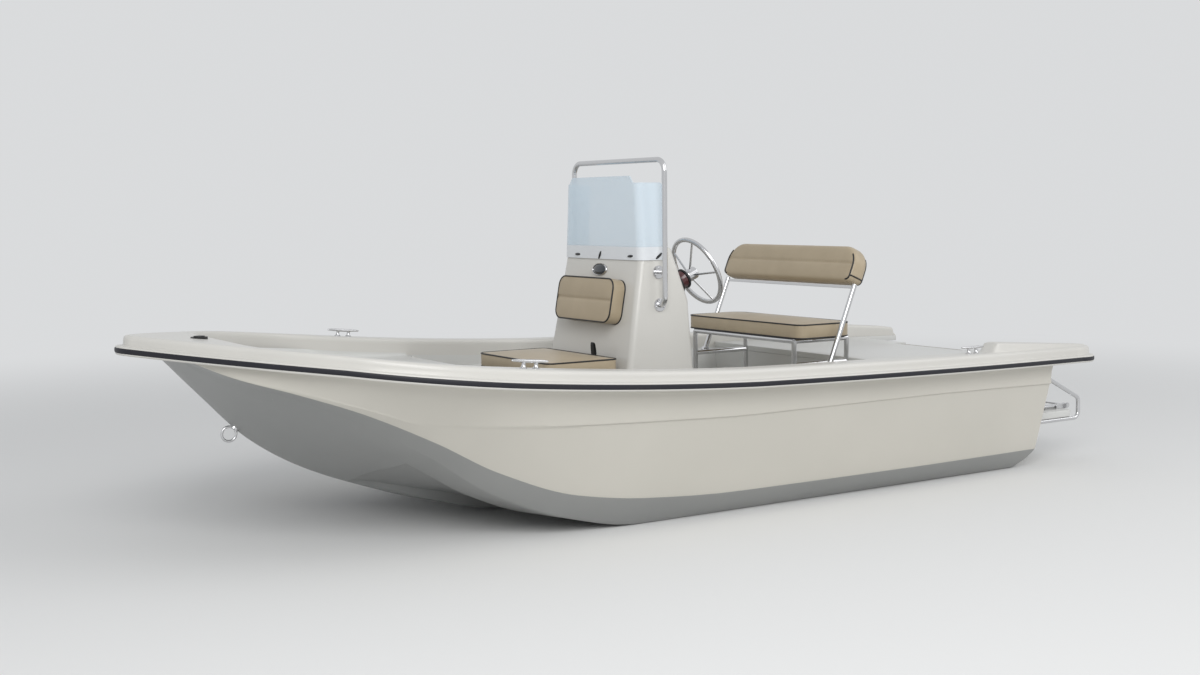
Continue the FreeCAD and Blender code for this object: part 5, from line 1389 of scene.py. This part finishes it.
def make_bow_deck():
    """Walls, deck and sunk locker of the bow, as one moulding with its thickness."""
    edge = WELL_EDGE[WELL_EDGE[:, 0] > WELL_FRONT_X + 0.012]
    edge = np.vstack([[DECK_AFT_X, edge[0, 1]], edge])
    plan = np.vstack([edge, edge[::-1][1:] * FLIP])
    n = len(plan)
    top = sheer_z(plan[:, 0]) - UNDER_CAP
    depth = top - DECK_Z
    reach = np.minimum(COVE_MOST, COVE_LEAST + COVE_SHARE * depth)
    rows = [(np.full(n, -DECK_OVERLAP), top + DECK_TUCK)]
    rows += [(-DECK_OVERLAP + share * (reach + DECK_OVERLAP), top - drop * depth)
             for share, drop in COVE]
    points = []
    for insets, z in rows:
        moved = inset_loop(plan, np.append(insets[:-1], 0.0))
        points += [inside_hull(x, y, h) for (x, y), h in zip(moved, z)]
    faces = grid_faces(len(rows), n)
    locker = round_plan([(x, y, LOCKER_CORNER) for x, y in (
        (LOCKER_AFT, -LOCKER_HALF), (LOCKER_FORE, -LOCKER_HALF),
        (LOCKER_FORE, LOCKER_HALF), (LOCKER_AFT, LOCKER_HALF))])
    m, rim = len(locker), len(points)
    foot = rim + (len(LOCKER_ROWS) - 1) * m
    for inset, z in LOCKER_ROWS:
        points += [(x, y, DECK_Z + z) for x, y in inner_ring(locker, inset)]
    faces += ring_faces(len(LOCKER_ROWS), m, rim)
    close_ring(points, faces, rim - n, n, 0.05, lambda x: DECK_Z, rim, m)
    close_ring(points, faces, foot, m, 0.06, lambda x: DECK_Z + LOCKER_ROWS[-1][1])
    points = [(x - MIDDLE, y, z) for x, y, z in points]
    deck = add_piece("bow_deck_moulding", "boat", points, faces, deck_nonskid)
    flat = max(deck.data.polygons, key=lambda face: face.area)
    if flat.normal.z < 0.0:
        deck.data.flip_normals()
    thicken(deck, DECK_WALL)
    shade_smooth(deck, 40.0)
    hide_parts("bow_deck")
    return deck


bow_deck = make_bow_deck()
nodes["cockpit_liner"].data.materials[0] = deck_nonskid
print("bow deck:", len(bow_deck.data.polygons), "faces")

# %% [markdown]
# ## Windshield
# The windshield is one sheet of acrylic bent round the console's top, with a raised centre and
# rounded upper corners. It is drawn as a grid along the bend and up, each column ending at
# its own height, and then given its thickness.

# %% Make the windshield
SHIELD_FOOT_Z = 1.115
SHIELD_TOP_Z = 1.500
SHIELD_WING_Z = 1.468
SHIELD_THICKNESS = 0.005
SHIELD_SIDE = 0.140
SHIELD_FOOT_HALF = 0.3332
SHIELD_TOP_HALF = 0.306
SHIELD_BEND = 0.0358
SHIELD_RAISED = 0.262
SHIELD_SHOULDER = 0.030
SHIELD_CORNER = 0.016
SHIELD_BAND = 0.060
SHIELD_BAND_ROWS = 2
SHIELD_ROWS = 15
SHIELD_FRONT_X = console_front_x(SHIELD_FOOT_Z) + 0.0058


def shield_plan(half):
    """Plan of the sheet from its port aft edge round to the starboard one."""
    bend_x, bend_y = SHIELD_FRONT_X - SHIELD_BEND, half - SHIELD_BEND
    middle = SHIELD_BEND * (1.0 - math.sqrt(0.5))
    side = line_points((SHIELD_FRONT_X - SHIELD_SIDE, half), (bend_x, half), 0.008)
    bend = arc_points((bend_x, half), (SHIELD_FRONT_X - middle, half - middle),
                      (SHIELD_FRONT_X, bend_y), 0.006)
    front = line_points((SHIELD_FRONT_X, bend_y), (SHIELD_FRONT_X, 0.0), 0.009)
    port = joined(side, bend, front)
    return np.vstack([port, port[::-1][1:] * FLIP])


def shield_edge(foot):
    """Height of the upper edge at each column: low wings, a raised middle, round corners."""
    along = np.concatenate([[0], np.cumsum(np.linalg.norm(np.diff(foot, axis=0), axis=1))])
    from_end = np.minimum(along, along[-1] - along)
    beyond = SHIELD_RAISED + SHIELD_SHOULDER - np.abs(foot[:, 1])
    rise = np.clip(beyond / SHIELD_SHOULDER, 0.0, 1.0)
    rise = rise * rise * (3.0 - 2.0 * rise) * (np.abs(foot[:, 0] - foot[:, 0].max()) < 0.05)
    edge = SHIELD_WING_Z + (SHIELD_TOP_Z - SHIELD_WING_Z) * rise
    round_off = np.clip(SHIELD_CORNER - from_end, 0.0, SHIELD_CORNER)
    return edge - (SHIELD_CORNER - np.sqrt(SHIELD_CORNER ** 2 - round_off ** 2))


def make_shield():
    """Bent sheet with a shaped top edge."""
    foot, top = shield_plan(SHIELD_FOOT_HALF), shield_plan(SHIELD_TOP_HALF)
    count = min(len(foot), len(top))
    foot, top = (run[np.linspace(0, len(run) - 1, count).round().astype(int)]
                 for run in (foot, top))
    edge = shield_edge(foot)
    rows_above = SHIELD_ROWS - 1 - SHIELD_BAND_ROWS
    points = []
    for r in range(SHIELD_ROWS):
        for i in range(count):
            z = SHIELD_FOOT_Z + SHIELD_BAND * min(1.0, r / SHIELD_BAND_ROWS)
            above = edge[i] - SHIELD_FOOT_Z - SHIELD_BAND
            z += above * max(0, r - SHIELD_BAND_ROWS) / rows_above
            t = (z - SHIELD_FOOT_Z) / (SHIELD_TOP_Z - SHIELD_FOOT_Z)
            x, y = foot[i] + t * (top[i] - foot[i])
            points.append((x, y, z))
    shield = add_piece("windshield_sheet", "boat", points, grid_faces(SHIELD_ROWS, count), acrylic)
    if shield.data.polygons[0].normal.y < 0.0:
        shield.data.flip_normals()
    thicken(shield, SHIELD_THICKNESS)
    shield.data.materials.append(white_acrylic)
    for face in shield.data.polygons:
        face.material_index = int(face.center.z < SHIELD_FOOT_Z + SHIELD_BAND)
    shade_smooth(shield, 40.0)
    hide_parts("windshield")
    return shield


shield = make_shield()
print("windshield:", len(shield.data.polygons), "faces")

# %% [markdown]
# ## Small turned pieces
# Screws, the vent's ring and shell and the windshield's knobs are round or oval things. On the
# boat they are turned or moulded. One helper spins a profile into a closed piece, stretches it
# where it is oval and sets it square to whatever carries it, so every one of them is the same.

# %% Turn a profile


def facing(place, out, spin=0.0):
    """Frame at a place whose z points out of the surface."""
    square = Vector(out).to_track_quat("Z", "Y").to_matrix().to_4x4()
    return Matrix.Translation(place) @ square @ Matrix.Rotation(spin, 4, "Z")


def turned(profile, sides, stretch=(1.0, 1.0)):
    """Points and faces of a profile of radius and height, closed on the axis at both ends."""
    angles = np.arange(sides) * 2.0 * math.pi / sides
    points = [(radius * math.cos(a) * stretch[0], radius * math.sin(a) * stretch[1], height)
              for radius, height in profile for a in angles]
    return points, ring_faces(len(profile), sides) + end_faces(len(profile), sides)


def set_turned(name, body, profile, places, finish, sides, stretch=(1.0, 1.0)):
    """The same turned piece at several places, as one mesh."""
    shape, shape_faces = turned(profile, sides, stretch)
    points, faces = [], []
    for place in places:
        first = len(points)
        points += [tuple(place @ Vector(p)) for p in shape]
        faces += [tuple(first + i for i in face) for face in shape_faces]
    piece = add_piece(name, body, points, faces, finish, 40.0)
    return piece


# %% Vent
VENT_Z = 1.065
VENT_OVAL = (0.74, 1.56)
VENT_RING = ((.0405, .0), (.0405, .003), (.0395, .006), (.0370, .0085), (.0350, .0075),
             (.034, .0045), (.034, .0))
VENT_SHELL = ((.0343, .001), (.0343, .0045), (.031, .0072), (.025, .0098), (.017, .0117),
              (.009, .0127), (.002, .013))
vent_place = on_console_front(VENT_Z, 0.0)
vent_ring = set_turned("vent_ring", "boat", VENT_RING, [vent_place], steel, 48,
                       VENT_OVAL)
vent_glass = set_turned("vent_shell", "boat", VENT_SHELL, [vent_place], dark_glass,
                        48, VENT_OVAL)
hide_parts("console_vent")
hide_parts("console_vent")
print("vent:", len(vent_ring.data.polygons) + len(vent_glass.data.polygons), "faces")

# %% Knobs of the windshield
KNOB_Z = 1.133
KNOB_OVAL = (2.9, 0.75)
KNOB_PROFILE = ((.0075, .0), (.0075, .0025), (.0065, .0045), (.0045, .0055), (.0015, .006))
KNOB_FRONT = ((-0.2025, 0.0), (-0.005, 62.0), (0.251, 4.0))
KNOB_SIDE_Y, KNOB_SIDE_BACK, KNOB_SIDE_SPIN = 0.3318, 0.103, 38.0
SIDE_SLOPE = 0.061
knob_places = [facing((SHIELD_FRONT_X - 0.0003, y, KNOB_Z), (1, 0, 0), math.radians(spin))
               for y, spin in KNOB_FRONT]
knob_places.append(facing((SHIELD_FRONT_X - KNOB_SIDE_BACK, KNOB_SIDE_Y, KNOB_Z),
                          (0, 1, SIDE_SLOPE), math.radians(KNOB_SIDE_SPIN)))
set_turned("shield_fasteners", "boat", KNOB_PROFILE, knob_places, black_plastic,
           24, KNOB_OVAL)
print("knobs:", len(knob_places))

# %% Screws of the rail's flanges
RAIL_X = CONSOLE_X + 0.205
FLANGE_HEIGHTS = (0.910, 1.060)
SCREW_CIRCLE = 0.021
SCREW_PROFILE = ((.0046, .0), (.0044, .0012), (.0034, .0022), (.0018, .0026), (.0018, .0014),
                 (.0004, .0014))


def flange_screws():
    """Frames of the three screws in each of the four flanges on the console's sides."""
    places = []
    for side in (1.0, -1.0):
        for z in FLANGE_HEIGHTS:
            half = 0.382 - (z - CONSOLE_FOOT_Z) / 0.950 * 0.058
            for turn in range(3):
                a = math.radians(90 + 120 * turn)
                place = (RAIL_X + SCREW_CIRCLE * math.cos(a), side * (half + 0.0068),
                         z + SCREW_CIRCLE * math.sin(a))
                places.append(facing(place, (0, side, 0)))
    return places


screw_places = flange_screws()
set_turned("flange_screws", "boat", SCREW_PROFILE, screw_places, steel, 14)
print("screws:", len(screw_places))

# %% [markdown]
# ## Steering cup
# Behind the steering wheel's hub a dark red cone sits in a black ring, where the shaft goes into
# the console. Both are moulded round the shaft's own axis. They could be cut out of blocks, but
# a profile spun on that axis keeps them true to it, so the same helper makes both.

# %% Steering cup
WHEEL_TILT = math.radians(24.3)
WHEEL_PLACE = (CONSOLE_X - 0.112, 0.200, 1.051)
CUP_PROFILE = ((.016, -.150), (.030, -.146), (.033, -.120), (.037, -.100), (.0435, -.088))
CUP_RIM_PROFILE = ((.040, -.0905), (.0455, -.0905), (.0485, -.0885), (.0495, -.0850),
                   (.0490, -.0810), (.0465, -.0785), (.040, -.0775), (.016, -.0770))
wheel_frame = (Matrix.Translation(WHEEL_PLACE)
               @ Matrix.Rotation(WHEEL_TILT - math.pi / 2, 4, "Y"))
steering_cup = set_turned("steering_cup", "boat", CUP_PROFILE, [wheel_frame], red_plastic,
                          40)
cup_rim = set_turned("steering_cup_rim", "boat", CUP_RIM_PROFILE, [wheel_frame], black_plastic,
                     40)
print("steering cup:", len(steering_cup.data.polygons) + len(cup_rim.data.polygons), "faces")

# %% [markdown]
# ## Horn cleats
# A cast cleat has two flared feet and tapering horns that droop a little at the tips. A bent
# bar would keep one thickness, so a round section of its own size is carried through each
# place along the horns, and the feet are turned profiles.

# %% Make the cleats
# name, place along the boat, distance in from the edge
CLEAT_PLACES = (("fore", 0.7247 * LENGTH, 0.082), ("aft", 0.2050 * LENGTH, 0.100))
# place along the horn, height and radius
HORN_ROWS = ((-.0825, .0305, .0015), (-.0815, .0300, .0036), (-.077, .0298, .0052),
             (-.060, .0302, .0066), (-.040, .0300, .0078), (-.020, .0292, .0084),
             (.0, .0290, .0086))
HORN_SIDES = 16
HORN_FLATTEN = 0.86
FOOT_PROFILE = ((.0150, .0), (.0150, .0020), (.0125, .0042), (.0092, .0080), (.0076, .0140),
                (.0074, .0220), (.0080, .0290))
FOOT_X = 0.028
CLEAT_REACH = 0.056


def gunwale_half(x):
    """Half breadth of the gunwale's edge at a place."""
    return float(np.interp(x, PORT_EDGE[:, 0], PORT_EDGE[:, 1]))


def cleat_frame(x, inset, side):
    """Frame on the gunwale's top, turned along its edge."""
    fore, aft = x + CLEAT_REACH, x - CLEAT_REACH
    ahead = gunwale_half(fore) - gunwale_half(aft)
    rise = float(sheer_z(fore) - sheer_z(aft))
    yaw = side * math.atan2(ahead, 2 * CLEAT_REACH)
    pitch = -math.atan2(rise, 2 * CLEAT_REACH)
    place = Vector((x - MIDDLE, side * (gunwale_half(x) - inset), float(sheer_z(x)) + CAP_RISE))
    return (Matrix.Translation(place) @ Matrix.Rotation(yaw, 4, "Z")
            @ Matrix.Rotation(pitch, 4, "Y"))


def make_cleat(name, node, place):
    """One cleat: horns swept along their rows, and two feet."""
    rows = HORN_ROWS + tuple((-x, z, r) for x, z, r in reversed(HORN_ROWS[:-1]))
    angles = np.arange(HORN_SIDES) * 2 * math.pi / HORN_SIDES
    points = [(x, r * math.cos(a), z + r * HORN_FLATTEN * math.sin(a))
              for x, z, r in rows for a in angles]
    faces = ring_faces(len(rows), HORN_SIDES) + end_faces(len(rows), HORN_SIDES)
    shape, shape_faces = turned(FOOT_PROFILE, 18)
    for x in (-FOOT_X, FOOT_X):
        first = len(points)
        points += [(px + x, py, pz) for px, py, pz in shape]
        faces += [tuple(first + i for i in face) for face in shape_faces]
    points = [tuple(place @ Vector(p)) for p in points]
    cleat = add_piece(name, "boat", points, faces, steel, 40.0)
    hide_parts(node)


for row_name, x, inset in CLEAT_PLACES:
    for word, side in (("port", 1.0), ("starboard", -1.0)):
        make_cleat("horn_cleat_%s_%s" % (row_name, word), "cleat_%s_%s" % (row_name, word),
                   cleat_frame(x, inset, side))
print("cleats:", 2 * len(CLEAT_PLACES))

# %% [markdown]
# ## Pull strap
# A short webbing strap behind the front cushion lifts the lid. It is a flat band bent over in
# a loop, so it is swept directly, with rounded edges.

# %% Make the strap
STRAP_WIDTH, STRAP_HALF_THICK, STRAP_ROUND = 0.025, 0.0012, 0.001
STRAP_FOOT = (SEAT_AFT_X + 0.004, 0.130, 0.676)
STRAP_DEPTH = 0.9
STRAP_LINE = ((.000, -.004), (.000, .012), (.002, .028), (.005, .044), (.009, .055),
              (.013, .0585), (.0165, .056), (.0175, .046), (.0165, .030), (.015, .012),
              (.014, .002))


def strap_section():
    """Flat section of the webbing with rounded edges, as places across and out."""
    half, flat = STRAP_WIDTH / 2.0, STRAP_WIDTH / 2.0 - STRAP_ROUND
    edge = STRAP_HALF_THICK * 0.4
    return [(-half, -edge), (-flat, -STRAP_HALF_THICK), (flat, -STRAP_HALF_THICK), (half, -edge),
            (half, edge), (flat, STRAP_HALF_THICK), (-flat, STRAP_HALF_THICK), (-half, edge)]


def make_strap():
    """Webbing loop standing at the aft edge of the front cushion."""
    line = [Vector(STRAP_FOOT) + Vector((x * STRAP_DEPTH, 0.0, z)) for x, z in STRAP_LINE]
    section = strap_section()
    across = Vector((0, 1, 0))
    points = []
    for i, here in enumerate(line):
        along = (line[min(i + 1, len(line) - 1)] - line[max(i - 1, 0)]).normalized()
        out = along.cross(across).normalized()
        points += [here + across * a + out * b for a, b in section]
    faces = ring_faces(len(line), len(section)) + end_faces(len(line), len(section))
    strap = add_piece("pull_strap", "front_lid", points, faces, webbing, 60.0)
    return strap


strap_piece = make_strap()
print("strap:", len(strap_piece.data.polygons), "faces")
